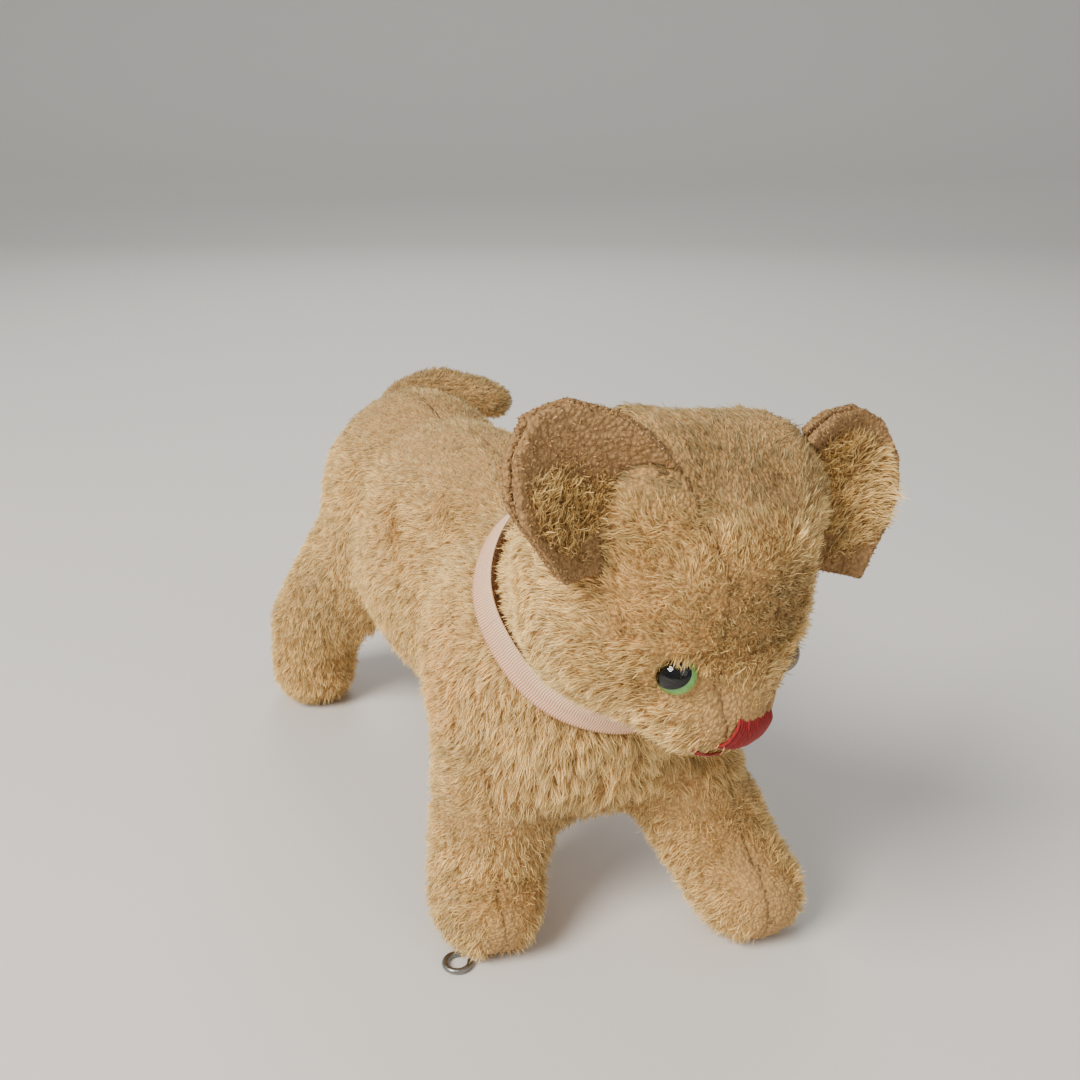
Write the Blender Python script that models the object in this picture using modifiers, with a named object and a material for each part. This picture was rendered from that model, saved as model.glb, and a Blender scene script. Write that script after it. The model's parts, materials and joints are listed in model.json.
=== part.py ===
"""A small mohair kitten with a swivel head, built as the toy maker builds it.

Cut mohair covers over hard wood-wool filling, a bent wire frame in the legs, a hardboard
disc joint at the neck, glass eyes on wire shanks, a stitched nose and mouth, and a ribbon.
Metres, +Z up: the kitten looks along -Y, its own left is +X, and its paws stand on Z = 0.
"""

import math

import bmesh
import bpy
from mathutils import Euler, Matrix, Vector
from mathutils.bvhtree import BVHTree

# ---- driving dimensions ------------------------------------------------------------------

# trunk: three soft lumps along the spine
RUMP_AT = Vector((0.0, 0.0300, 0.0600))
RUMP_WIDTH = 0.0460
RUMP_LENGTH = 0.0500
RUMP_HEIGHT = 0.0550
WAIST_AT = Vector((0.0, 0.0000, 0.0560))
WAIST_WIDTH = 0.0470
WAIST_HEIGHT = 0.0600
CHEST_AT = Vector((0.0, -0.0410, 0.0500))
CHEST_WIDTH = 0.0535
CHEST_LENGTH = 0.0560
CHEST_HEIGHT = 0.0620

# legs and paws
PAW_RIGHT_X = -0.0215
PAW_LEFT_X = 0.0215
FRONT_PAW_LEFT_X = 0.0245
LEG_RADIUS = 0.0102
SHOULDER_RADIUS = 0.0140
THIGH_RADIUS = 0.0160
PAW_LENGTH = 0.0250
PAW_HEIGHT = 0.0205
FRONT_PAW_RIGHT_Y = -0.0490
FRONT_PAW_LEFT_Y = -0.0680
HIND_PAW_Y = 0.0600
SOLE_PRESS = 0.0016

# tail: a short stub that curls to the kitten's left
TAIL_RADIUS = 0.0056
TAIL_ROUTE = (
    Vector((0.0000, 0.0450, 0.0740)),
    Vector((0.0060, 0.0560, 0.0785)),
    Vector((0.0180, 0.0570, 0.0805)),
    Vector((0.0290, 0.0500, 0.0770)),
)

# neck joint: a plane that leans back, with its axis up and forward
NECK_AT = Vector((0.0, -0.0580, 0.0700))
NECK_LEAN = math.radians(45.0)
NECK_RADIUS = 0.0205
SWIVEL_GAP = 0.0008
DISC_RADIUS = 0.0135
DISC_THICKNESS = 0.0020
WASHER_RADIUS = 0.0050
WASHER_THICKNESS = 0.0008
PIN_WIRE_RADIUS = 0.0006
PIN_LEG_SPACING = 0.0016
PIN_HEAD_RADIUS = 0.0022

# head: placed and cocked as it is worn
HEAD_AT = Vector((-0.0018, -0.0765, 0.0798))
HEAD_TURN = math.radians(10.0)
HEAD_BOW = math.radians(18.0)
HEAD_TILT = math.radians(9.0)
HEAD_WIDTH = 0.0495
HEAD_DEPTH = 0.0440
HEAD_HEIGHT = 0.0430
CROWN_WIDTH = 0.0490
CROWN_HEIGHT = 0.0285
MUZZLE_WIDTH = 0.0260
MUZZLE_REACH = 0.0268
MUZZLE_DROP = 0.0092
MUZZLE_HEIGHT = 0.0185
GUSSET_NOSE_WIDTH = 0.0070
GUSSET_CROWN_WIDTH = 0.0340
GUSSET_NAPE_WIDTH = 0.0220

# ears: cupped, lining in front and backing behind
EAR_WIDTH = 0.0270
EAR_HEIGHT = 0.0210
EAR_CUP = 0.0050
EAR_LEAN = 0.0050
EAR_WALL = 0.0010
EAR_BASE = Vector((0.0197, -0.0040, 0.0124))
EAR_ACROSS = {"left": Vector((0.90, -0.25, -0.30)), "right": Vector((-0.92, 0.05, -0.40))}
EAR_RISE = {"left": Vector((0.50, 0.25, 0.86)), "right": Vector((-0.40, 0.36, 0.85))}
EAR_ROOT = 0.0070

# eyes
EYE_RADIUS = 0.0031
EYE_HEIGHT = -0.0022
EYE_SPREAD = 0.0120
EYE_SINK = 0.0012
IRIS_RADIUS = 0.0028
IRIS_THICKNESS = 0.0005
PUPIL_RADIUS = 0.0018
PUPIL_THICKNESS = 0.0004
SHANK_WIRE_RADIUS = 0.0004
SHANK_LENGTH = 0.0075
SHANK_LOOP_RADIUS = 0.0013

# stitched nose and mouth
NOSE_WIDTH = 0.0096
NOSE_TOP = -0.0074
NOSE_BOTTOM = -0.0136
STITCH_THICKNESS = 0.0010
MOUTH_THREAD_RADIUS = 0.0005
MOUTH_HALF_WIDTH = 0.0085
MOUTH_RISE = 0.0020

# covers, filling, wire and ribbon
COVER = 0.0008
FILL_GAP = 0.0007
SEAM_GAP = 0.0008
FIT = 0.0003
LEG_SEAM_X = 0.0225
BELLY_SEAM_Z = 0.0430
WIRE_RADIUS = 0.00065
WIRE_LOOP_RADIUS = 0.0024
LOOP_REACH = Vector((-0.0085, -0.0070, 0.0))
RIBBON_WIDTH = 0.0056
RIBBON_THICKNESS = 0.0005
RIBBON_GAP = 0.0004

# how finely the soft forms are made
VOXEL = 0.0026
SMOOTHING = 10
COPLANAR = math.radians(0.5)
PUNCH_REACH = 0.0090
BODY_DETAIL = 0.095
HEAD_DETAIL = 0.17
TAIL_DETAIL = 0.20

X_AXIS = Vector((1.0, 0.0, 0.0))
Y_AXIS = Vector((0.0, 1.0, 0.0))
Z_AXIS = Vector((0.0, 0.0, 1.0))
NECK_AXIS = Vector((0.0, -math.cos(NECK_LEAN), math.sin(NECK_LEAN)))
NECK_ACROSS = Vector((1.0, 0.0, 0.0))
HEAD_POSE = Euler((HEAD_BOW, HEAD_TILT, HEAD_TURN), "XYZ").to_matrix().to_4x4()
HEAD_FRAME = Matrix.Translation(HEAD_AT) @ HEAD_POSE


# ---- scene, materials and objects ----------------------------------------------------------

for leftover in list(bpy.data.objects):
    bpy.data.objects.remove(leftover, do_unlink=True)

KITTEN = bpy.data.collections.new("mohair_kitten")
CUTTERS = bpy.data.collections.new("cutters")
bpy.context.scene.collection.children.link(KITTEN)
bpy.context.scene.collection.children.link(CUTTERS)


def material(name, colour, roughness, metallic=0.0):
    """A plain surface for one sub-part."""
    surface = bpy.data.materials.new(name)
    surface.use_nodes = True
    shader = surface.node_tree.nodes["Principled BSDF"]
    shader.inputs["Base Color"].default_value = (*colour, 1.0)
    shader.inputs["Roughness"].default_value = roughness
    shader.inputs["Metallic"].default_value = metallic
    return surface


MOHAIR = (0.58, 0.42, 0.22)
WORN_CLOTH = (0.40, 0.25, 0.12)
WOOD_WOOL = (0.66, 0.55, 0.33)
HARDBOARD = (0.30, 0.18, 0.09)
STEEL = (0.45, 0.44, 0.42)
RED_THREAD = (0.55, 0.02, 0.02)
RIBBON_PINK = (0.80, 0.48, 0.36)
CLEAR = (0.85, 0.90, 0.85)
GREEN = (0.20, 0.55, 0.15)
BLACK = (0.01, 0.01, 0.01)


def add_object(name, mesh, colour, roughness=0.9, metallic=0.0, parent=None):
    """Puts a mesh in the kitten's collection as one named sub-part."""
    mesh.name = name
    mesh.materials.clear()
    mesh.materials.append(material(name, colour, roughness, metallic))
    mesh.shade_smooth()
    part = bpy.data.objects.new(name, mesh)
    KITTEN.objects.link(part)
    if parent is not None:
        part.parent = parent
        part.matrix_parent_inverse = parent.matrix_world.inverted()
    return part


def add_cutter(name, mesh):
    """A shape that only cuts others."""
    cutter = bpy.data.objects.new(name, mesh)
    cutter.hide_render = True
    cutter.display_type = "WIRE"
    CUTTERS.objects.link(cutter)
    return cutter


def subtract(part, *cutters):
    """Cuts the cutters' shapes out of a part."""
    for cutter in cutters:
        cut = part.modifiers.new("cut_" + cutter.name, "BOOLEAN")
        cut.operation = "DIFFERENCE"
        cut.solver = "EXACT"
        cut.object = cutter


def to_mesh(bm, name):
    """Ends a bmesh as a mesh."""
    mesh = bpy.data.meshes.new(name)
    bm.to_mesh(mesh)
    bm.free()
    return mesh


def evaluated_mesh(thing):
    """The mesh of an object with its modifiers or bevel worked out, caps welded."""
    bpy.context.view_layer.update()
    graph = bpy.context.evaluated_depsgraph_get()
    mesh = bpy.data.meshes.new_from_object(thing.evaluated_get(graph))
    bm = bmesh.new()
    bm.from_mesh(mesh)
    bmesh.ops.remove_doubles(bm, verts=bm.verts, dist=0.000002)
    bmesh.ops.transform(bm, matrix=thing.matrix_world, verts=bm.verts)
    bm.to_mesh(mesh)
    bm.free()
    return mesh


def remove_object(thing):
    bpy.data.objects.remove(thing, do_unlink=True)


# ---- soft forms ----------------------------------------------------------------------------


def lump(bm, centre, radii):
    """An ellipsoid of filling."""
    squash = Matrix.Diagonal((*radii, 1.0))
    place = Matrix.Translation(centre) @ squash
    bmesh.ops.create_uvsphere(bm, u_segments=24, v_segments=14, radius=1.0, matrix=place)


def limb(bm, start, start_radius, end, end_radius):
    """A round-ended tapering length, as the hull of a ball at each end."""
    hull = bmesh.new()
    for centre, radius in ((start, start_radius), (end, end_radius)):
        place = Matrix.Translation(centre)
        bmesh.ops.create_icosphere(hull, subdivisions=3, radius=radius, matrix=place)
    made = bmesh.ops.convex_hull(hull, input=hull.verts)
    inside = [item for item in made["geom_interior"] if isinstance(item, bmesh.types.BMVert)]
    bmesh.ops.delete(hull, geom=inside, context="VERTS")
    piece = bpy.data.meshes.new("limb")
    hull.to_mesh(piece)
    hull.free()
    bm.from_mesh(piece)
    bpy.data.meshes.remove(piece)


def soft_form(bm, name, detail):
    """Melts overlapping lumps into one smooth closed surface."""
    lumps = bpy.data.objects.new(name, to_mesh(bm, name))
    bpy.context.scene.collection.objects.link(lumps)
    melt = lumps.modifiers.new("melt", "REMESH")
    melt.mode = "VOXEL"
    melt.voxel_size = VOXEL
    relax = lumps.modifiers.new("relax", "SMOOTH")
    relax.factor = 0.5
    relax.iterations = SMOOTHING
    thin = lumps.modifiers.new("thin", "DECIMATE")
    thin.ratio = detail
    mesh = evaluated_mesh(lumps)
    remove_object(lumps)
    return mesh


def trimmed(mesh, planes):
    """Slices a closed form flat on each plane and closes the slice; the normal side goes."""
    bm = bmesh.new()
    bm.from_mesh(mesh)
    for point, normal in planes:
        everything = bm.verts[:] + bm.edges[:] + bm.faces[:]
        bmesh.ops.bisect_plane(
            bm, geom=everything, dist=1e-7, plane_co=point, plane_no=normal, clear_outer=True
        )
        rim = [edge for edge in bm.edges if edge.is_boundary]
        bmesh.ops.holes_fill(bm, edges=rim, sides=0)
    bmesh.ops.triangulate(bm, faces=[face for face in bm.faces if len(face.verts) > 4])
    bmesh.ops.recalc_face_normals(bm, faces=bm.faces)
    bm.to_mesh(mesh)
    bm.free()
    return mesh


def grown(mesh, distance, name):
    """A copy of a closed form, moved out along its normals, or in when negative."""
    bm = bmesh.new()
    bm.from_mesh(mesh)
    bm.normal_update()
    moves = [vert.normal.copy() * distance for vert in bm.verts]
    for vert, move in zip(bm.verts, moves):
        vert.co += move
    return to_mesh(bm, name)


def keep_main_piece(bm):
    """Deletes the slivers that crossing seams leave beside a panel."""
    islands = []
    waiting = set(bm.faces)
    while waiting:
        island = [waiting.pop()]
        for face in island:
            for edge in face.edges:
                for beside in edge.link_faces:
                    if beside in waiting:
                        waiting.remove(beside)
                        island.append(beside)
        islands.append(island)
    islands.sort(key=lambda island: sum(face.calc_area() for face in island))
    slivers = [face for island in islands[:-1] for face in island]
    bmesh.ops.delete(bm, geom=slivers, context="FACES")


def punch(bm, at, axis, radius, sides=12):
    """Takes a round hole out of an open surface, where an axis runs through it."""
    frame = axis_frame(at, axis)
    walls = []
    for index in range(sides):
        turn = 2.0 * math.pi * index / sides
        outward = frame.to_3x3() @ Vector((math.cos(turn), math.sin(turn), 0.0))
        walls.append((at + radius * outward, outward))
    for point, outward in walls:
        near = [face for face in bm.faces if (face.calc_center_median() - at).length < PUNCH_REACH]
        edges = {edge for face in near for edge in face.edges}
        verts = {vert for face in near for vert in face.verts}
        everything = list(verts) + list(edges) + near
        bmesh.ops.bisect_plane(bm, geom=everything, dist=1e-7, plane_co=point, plane_no=outward)
    inside = []
    for face in bm.faces:
        centre = face.calc_center_median()
        if (centre - at).length < PUNCH_REACH:
            if all((centre - point).dot(outward) < 0.0 for point, outward in walls):
                inside.append(face)
    bmesh.ops.delete(bm, geom=inside, context="FACES")


def panels(mesh, planes, sort, holes=()):
    """Cuts a form along seam planes, each a gap wide, and sorts its faces into panels.

    sort(point) names the panel of a face centre, or gives None for a face in a seam gap.
    Each hole is a point, an axis and a radius.
    """
    bm = bmesh.new()
    bm.from_mesh(mesh)
    for at, axis, radius in holes:
        punch(bm, at, axis, radius)
    for point, normal in planes:
        for side in (-0.5 * SEAM_GAP, 0.5 * SEAM_GAP):
            everything = bm.verts[:] + bm.edges[:] + bm.faces[:]
            bmesh.ops.bisect_plane(
                bm, geom=everything, dist=1e-7, plane_co=point + side * normal, plane_no=normal
            )
    names = {face: sort(face.calc_center_median()) for face in bm.faces}
    cut = {}
    for name in sorted({found for found in names.values() if found}):
        piece = bm.copy()
        piece.faces.ensure_lookup_table()
        others = [piece.faces[face.index] for face in names if names[face] != name]
        bmesh.ops.delete(piece, geom=others, context="FACES")
        keep_main_piece(piece)
        bmesh.ops.dissolve_limit(
            piece, angle_limit=COPLANAR, verts=piece.verts[:], edges=piece.edges[:]
        )
        cut[name] = to_mesh(piece, name)
    bm.free()
    return cut


def add_cover(name, mesh, colour, parent):
    """A cloth panel: its outer face is the form, and its thickness goes inwards."""
    cover = add_object(name, mesh, colour, 0.95, parent=parent)
    wall = cover.modifiers.new("wall", "SOLIDIFY")
    wall.thickness = COVER
    wall.offset = -1.0
    return cover


# ---- wires, discs and rings ------------------------------------------------------------------


def tube_mesh(name, points, radius, closed=False, sides=2):
    """A round wire along points, as a welded mesh."""
    curve = bpy.data.curves.new(name, "CURVE")
    curve.dimensions = "3D"
    curve.bevel_depth = radius
    curve.bevel_resolution = sides
    curve.use_fill_caps = True
    spline = curve.splines.new("POLY")
    spline.points.add(len(points) - 1)
    for spot, point in zip(spline.points, points):
        spot.co = (*point, 1.0)
    spline.use_cyclic_u = closed
    wire = bpy.data.objects.new(name, curve)
    bpy.context.scene.collection.objects.link(wire)
    mesh = evaluated_mesh(wire)
    remove_object(wire)
    return mesh


def smooth_route(points, steps):
    """Points along a Catmull-Rom curve through the given points."""
    ends = [2.0 * points[0] - points[1], *points, 2.0 * points[-1] - points[-2]]
    route = []
    for index in range(1, len(ends) - 2):
        before, here, after, beyond = ends[index - 1 : index + 3]
        for step in range(steps):
            t = step / steps
            route.append(
                0.5
                * (
                    2.0 * here
                    + (after - before) * t
                    + (2.0 * before - 5.0 * here + 4.0 * after - beyond) * t**2
                    + (3.0 * here - before - 3.0 * after + beyond) * t**3
                )
            )
    route.append(points[-1].copy())
    return route


def arc(centre, across, up, radius, start, end, count):
    """Points along an arc in the plane of two unit vectors; angles in degrees."""
    found = []
    for index in range(count):
        angle = math.radians(start + (end - start) * index / (count - 1))
        found.append(centre + radius * (math.cos(angle) * across + math.sin(angle) * up))
    return found


def axis_frame(at, axis):
    """A matrix whose Z runs along an axis."""
    return Matrix.Translation(at) @ axis.to_track_quat("Z", "Y").to_matrix().to_4x4()


def rod_mesh(name, at, axis, radius, start, end, sides=32):
    """A solid cylinder between two heights on an axis."""
    bm = bmesh.new()
    place = axis_frame(at + 0.5 * (start + end) * axis, axis)
    bmesh.ops.create_cone(
        bm,
        cap_ends=True,
        segments=sides,
        radius1=radius,
        radius2=radius,
        depth=end - start,
        matrix=place,
    )
    return to_mesh(bm, name)


def ring_mesh(name, at, axis, inner, outer, start, end, sides=48):
    """A flat ring: a rectangle spun about an axis."""
    bm = bmesh.new()
    corners = [(inner, start), (outer, start), (outer, end), (inner, end)]
    verts = [bm.verts.new((radius, 0.0, height)) for radius, height in corners]
    edges = [bm.edges.new((verts[i], verts[(i + 1) % 4])) for i in range(4)]
    bmesh.ops.spin(
        bm,
        geom=verts + edges,
        cent=(0.0, 0.0, 0.0),
        axis=(0.0, 0.0, 1.0),
        angle=2.0 * math.pi,
        steps=sides,
        use_merge=True,
    )
    bmesh.ops.remove_doubles(bm, verts=bm.verts, dist=0.000001)
    bmesh.ops.recalc_face_normals(bm, faces=bm.faces)
    bmesh.ops.transform(bm, matrix=axis_frame(at, axis), verts=bm.verts)
    return to_mesh(bm, name)


# ---- body ------------------------------------------------------------------------------------

PAW_CENTRE_Z = 0.5 * PAW_HEIGHT - SOLE_PRESS
PAWS = {
    "front_right": Vector((PAW_RIGHT_X, FRONT_PAW_RIGHT_Y, PAW_CENTRE_Z)),
    "front_left": Vector((FRONT_PAW_LEFT_X, FRONT_PAW_LEFT_Y, PAW_CENTRE_Z)),
    "hind_right": Vector((PAW_RIGHT_X, HIND_PAW_Y, PAW_CENTRE_Z)),
    "hind_left": Vector((PAW_LEFT_X, HIND_PAW_Y, PAW_CENTRE_Z)),
}


def body_form():
    """Trunk, legs and neck stump as one closed surface, flat at the neck and the soles."""
    bm = bmesh.new()
    lump(bm, RUMP_AT, (0.5 * RUMP_WIDTH, 0.5 * RUMP_LENGTH, 0.5 * RUMP_HEIGHT))
    lump(bm, CHEST_AT, (0.5 * CHEST_WIDTH, 0.5 * CHEST_LENGTH, 0.5 * CHEST_HEIGHT))
    waist_length = RUMP_AT.y - CHEST_AT.y
    lump(bm, WAIST_AT, (0.5 * WAIST_WIDTH, 0.62 * waist_length, 0.5 * WAIST_HEIGHT))
    limb(bm, CHEST_AT, 0.9 * NECK_RADIUS, NECK_AT - 0.002 * NECK_AXIS, NECK_RADIUS)

    for name, paw in PAWS.items():
        side = math.copysign(1.0, paw.x)
        if name.startswith("front"):
            reach = 0.5 * CHEST_WIDTH - SHOULDER_RADIUS
            shoulder = CHEST_AT + Vector((side * reach, -0.002, -0.004))
            limb(bm, shoulder, SHOULDER_RADIUS, paw, LEG_RADIUS)
        else:
            reach = 0.5 * RUMP_WIDTH - THIGH_RADIUS + 0.001
            hip = RUMP_AT + Vector((side * reach, 0.006, -0.011))
            knee = Vector((paw.x - side * 0.001, paw.y - 0.006, 0.5 * (hip.z + paw.z) - 0.004))
            limb(bm, hip, THIGH_RADIUS, knee, LEG_RADIUS + 0.0014)
            limb(bm, knee, LEG_RADIUS + 0.0014, paw, LEG_RADIUS)
        toes = paw - Vector((0.0, 0.002, 0.0))
        lump(bm, toes, (LEG_RADIUS + 0.0006, 0.5 * PAW_LENGTH, 0.5 * PAW_HEIGHT))
    mesh = soft_form(bm, "body_form", BODY_DETAIL)
    down = Vector((0.0, 0.0, -1.0))
    neck_end = NECK_AT - 0.5 * SWIVEL_GAP * NECK_AXIS
    return trimmed(mesh, [(neck_end, NECK_AXIS), (Vector((0.0, 0.0, 0.0)), down)])


def body_panel(point):
    """Which cover a point of the body's surface belongs to."""
    half = 0.5 * SEAM_GAP
    low = point.z - BELLY_SEAM_Z
    out = abs(point.x) - LEG_SEAM_X
    if low < -half and out < -half:
        return "belly_gusset"
    if (low > half or out > half) and abs(point.x) > half:
        return "body_side_left" if point.x > 0.0 else "body_side_right"
    return None


BODY_SEAMS = (
    (Vector((0.0, 0.0, 0.0)), X_AXIS),
    (Vector((LEG_SEAM_X, 0.0, 0.0)), X_AXIS),
    (Vector((-LEG_SEAM_X, 0.0, 0.0)), X_AXIS),
    (Vector((0.0, 0.0, BELLY_SEAM_Z)), Z_AXIS),
)


def front_wire_route():
    """From the loose loop under the right front paw, over the chest, to the left front paw."""
    right = PAWS["front_right"]
    left = PAWS["front_left"]
    loop_centre = Vector((right.x, right.y, WIRE_RADIUS + 0.0001)) + LOOP_REACH
    inward = -LOOP_REACH.normalized()
    loop = arc(loop_centre, inward, inward.cross(Z_AXIS), WIRE_LOOP_RADIUS, 50.0, 350.0, 13)
    bridge = CHEST_AT + Vector((0.0, 0.0, 0.000))
    leg = [
        loop[-1] + 0.0025 * inward + Vector((0.0, 0.0, 0.0022)),
        right + Vector((0.0, 0.0, 0.004)),
        right + Vector((0.001, 0.001, 0.016)),
        bridge + Vector((-0.010, 0.0, -0.002)),
        bridge,
        bridge + Vector((0.010, 0.0, -0.002)),
        left + Vector((-0.003, 0.010, 0.016)),
        left + Vector((0.0, -0.002, 0.002)),
    ]
    return loop + smooth_route(leg, 4)


def rear_wire_route():
    """From one hind paw over the rump to the other."""
    right = PAWS["hind_right"]
    left = PAWS["hind_left"]
    bridge = RUMP_AT + Vector((0.0, 0.0, -0.008))
    corners = [
        right,
        right + Vector((0.001, -0.006, 0.016)),
        bridge + Vector((-0.011, 0.002, -0.003)),
        bridge,
        bridge + Vector((0.011, 0.002, -0.003)),
        left + Vector((-0.001, -0.006, 0.016)),
        left,
    ]
    return smooth_route(corners, 4)


def spine_wire_route(front, rear):
    """Lies on top of the two leg wires and joins them."""
    lift = Vector((0.0, 0.0, 2.0 * WIRE_RADIUS + FIT))
    front_top = min(front, key=lambda point: abs(point.x)) + lift
    rear_top = min(rear, key=lambda point: abs(point.x)) + lift
    middle = 0.5 * (front_top + rear_top) + Vector((0.0, 0.0, 0.003))
    ends = [front_top - 0.004 * Y_AXIS, front_top + 0.004 * Y_AXIS]
    return smooth_route(ends + [middle, rear_top - 0.004 * Y_AXIS, rear_top + 0.004 * Y_AXIS], 4)


def build_body(root, neck_pocket):
    """Covers, filling and wire frame."""
    form = body_form()
    routes = {"front_leg_wire": front_wire_route(), "rear_leg_wire": rear_wire_route()}
    routes["spine_wire"] = spine_wire_route(routes["front_leg_wire"], routes["rear_leg_wire"])
    channels = []
    for name, route in routes.items():
        wire = tube_mesh(name, route, WIRE_RADIUS, sides=1)
        add_object(name, wire, STEEL, 0.35, 1.0, parent=root)
        channel = tube_mesh(name + "_channel", route, WIRE_RADIUS + FIT, sides=1)
        channels.append(add_cutter(name + "_channel", channel))

    pin_hole = (NECK_AT, NECK_AXIS, PIN_HOLE_RADIUS)
    for name, mesh in panels(form, BODY_SEAMS, body_panel, [pin_hole]).items():
        cover = add_cover(name, mesh, MOHAIR, root)
        if name == "body_side_right":
            subtract(cover, channels[0])

    packed = grown(form, -COVER - FILL_GAP, "body_stuffing")
    filling = add_object("body_stuffing", packed, WOOD_WOOL, parent=root)
    subtract(filling, neck_pocket, *channels)
    return form


# ---- tail --------------------------------------------------------------------------------------


def tail_form(radius):
    """The tail as a closed tube of one radius with round ends; its root is inside the rump."""
    bm = bmesh.new()
    route = smooth_route(list(TAIL_ROUTE), 3)
    for start, end in zip(route, route[1:]):
        limb(bm, start, radius, end, radius)
    return soft_form(bm, "tail_form", TAIL_DETAIL)


def build_tail(root, form):
    """A stub sewn to the rump, open at its root, with its own filling."""
    seat = add_cutter("rump_surface", grown(form, FIT, "rump_surface"))
    cover = add_cover("tail_cover", tail_form(TAIL_RADIUS), MOHAIR, root)
    subtract(cover, seat)
    core = tail_form(TAIL_RADIUS - COVER - 2.0 * FILL_GAP)
    filling = add_object("tail_stuffing", core, WOOD_WOOL, parent=root)
    subtract(filling, seat)


# ---- neck joint ----------------------------------------------------------------------------------

CAP_DEPTH = 0.5 * SWIVEL_GAP + COVER
DISC_START = CAP_DEPTH + FIT
WASHER_START = DISC_START + DISC_THICKNESS + FIT
PIN_START = WASHER_START + WASHER_THICKNESS + FIT
PIN_HOLE_RADIUS = 0.5 * PIN_LEG_SPACING + PIN_WIRE_RADIUS + FIT
POCKET_DEPTH = PIN_START + 2.0 * PIN_HEAD_RADIUS + 4.0 * PIN_WIRE_RADIUS


def pin_route():
    """A split pin: a round eye in the head, two legs, and ends curled back in the body."""
    half = 0.5 * PIN_LEG_SPACING
    eye_height = PIN_START + PIN_WIRE_RADIUS + PIN_HEAD_RADIUS
    eye_centre = NECK_AT + eye_height * NECK_AXIS
    start = math.degrees(math.asin(half / PIN_HEAD_RADIUS))
    eye = arc(eye_centre, -NECK_AXIS, NECK_ACROSS, PIN_HEAD_RADIUS, start, 360.0 - start, 15)
    curl_height = PIN_START + PIN_WIRE_RADIUS + PIN_HEAD_RADIUS
    ends = []
    for side in (1.0, -1.0):
        centre = NECK_AT - (curl_height - PIN_HEAD_RADIUS) * NECK_AXIS
        centre += side * (half + PIN_HEAD_RADIUS) * NECK_ACROSS - PIN_HEAD_RADIUS * NECK_AXIS
        curl = arc(centre, -side * NECK_ACROSS, NECK_AXIS, PIN_HEAD_RADIUS, 70.0, -150.0, 8)
        leg_end = centre - side * PIN_HEAD_RADIUS * NECK_ACROSS
        ends.append([point for point in curl if (point - leg_end).dot(NECK_AXIS) < 0.0])
    first = [NECK_AT + half * NECK_ACROSS]
    second = [NECK_AT - half * NECK_ACROSS]
    return list(reversed(ends[0])) + first + eye + second + ends[1]


def build_neck(root, swivel):
    """Two hardboard discs and two washers, held together by the split pin."""
    for name, side, parent in (("body", -1.0, root), ("head", 1.0, swivel)):
        axis = side * NECK_AXIS
        disc = ring_mesh(
            name + "_joint_disc",
            NECK_AT,
            axis,
            PIN_HOLE_RADIUS,
            DISC_RADIUS,
            DISC_START,
            DISC_START + DISC_THICKNESS,
            32,
        )
        add_object(name + "_joint_disc", disc, HARDBOARD, 0.85, parent=parent)
        washer = ring_mesh(
            name + "_joint_washer",
            NECK_AT,
            axis,
            PIN_HOLE_RADIUS,
            WASHER_RADIUS,
            WASHER_START,
            WASHER_START + WASHER_THICKNESS,
            20,
        )
        add_object(name + "_joint_washer", washer, STEEL, 0.4, 1.0, parent=parent)
    pin = tube_mesh("neck_cotter_pin", pin_route(), PIN_WIRE_RADIUS, sides=1)
    add_object("neck_cotter_pin", pin, STEEL, 0.4, 1.0, parent=swivel)


def reach_from_neck_axis(form, start, end):
    """How far a form stands out from the neck's axis between two heights on it."""
    reaches = []
    for vert in form.vertices:
        offset = vert.co - NECK_AT
        height = offset.dot(NECK_AXIS)
        if start <= height <= end:
            reaches.append((offset - height * NECK_AXIS).length)
    return max(reaches)


def build_ribbon(root, form):
    """A narrow ribbon round the neck, drawn in until it lies on the body's cover."""
    inner = reach_from_neck_axis(form, -RIBBON_WIDTH - VOXEL, VOXEL) + RIBBON_GAP
    band = ring_mesh(
        "neck_ribbon",
        NECK_AT,
        NECK_AXIS,
        inner,
        inner + RIBBON_THICKNESS,
        -RIBBON_WIDTH,
        0.0,
        40,
    )
    add_object("neck_ribbon", band, RIBBON_PINK, 0.6, parent=root)


# ---- head --------------------------------------------------------------------------------------


def in_head(x, y, z):
    """A point given in the head's own axes."""
    return HEAD_FRAME @ Vector((x, y, z))


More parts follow.
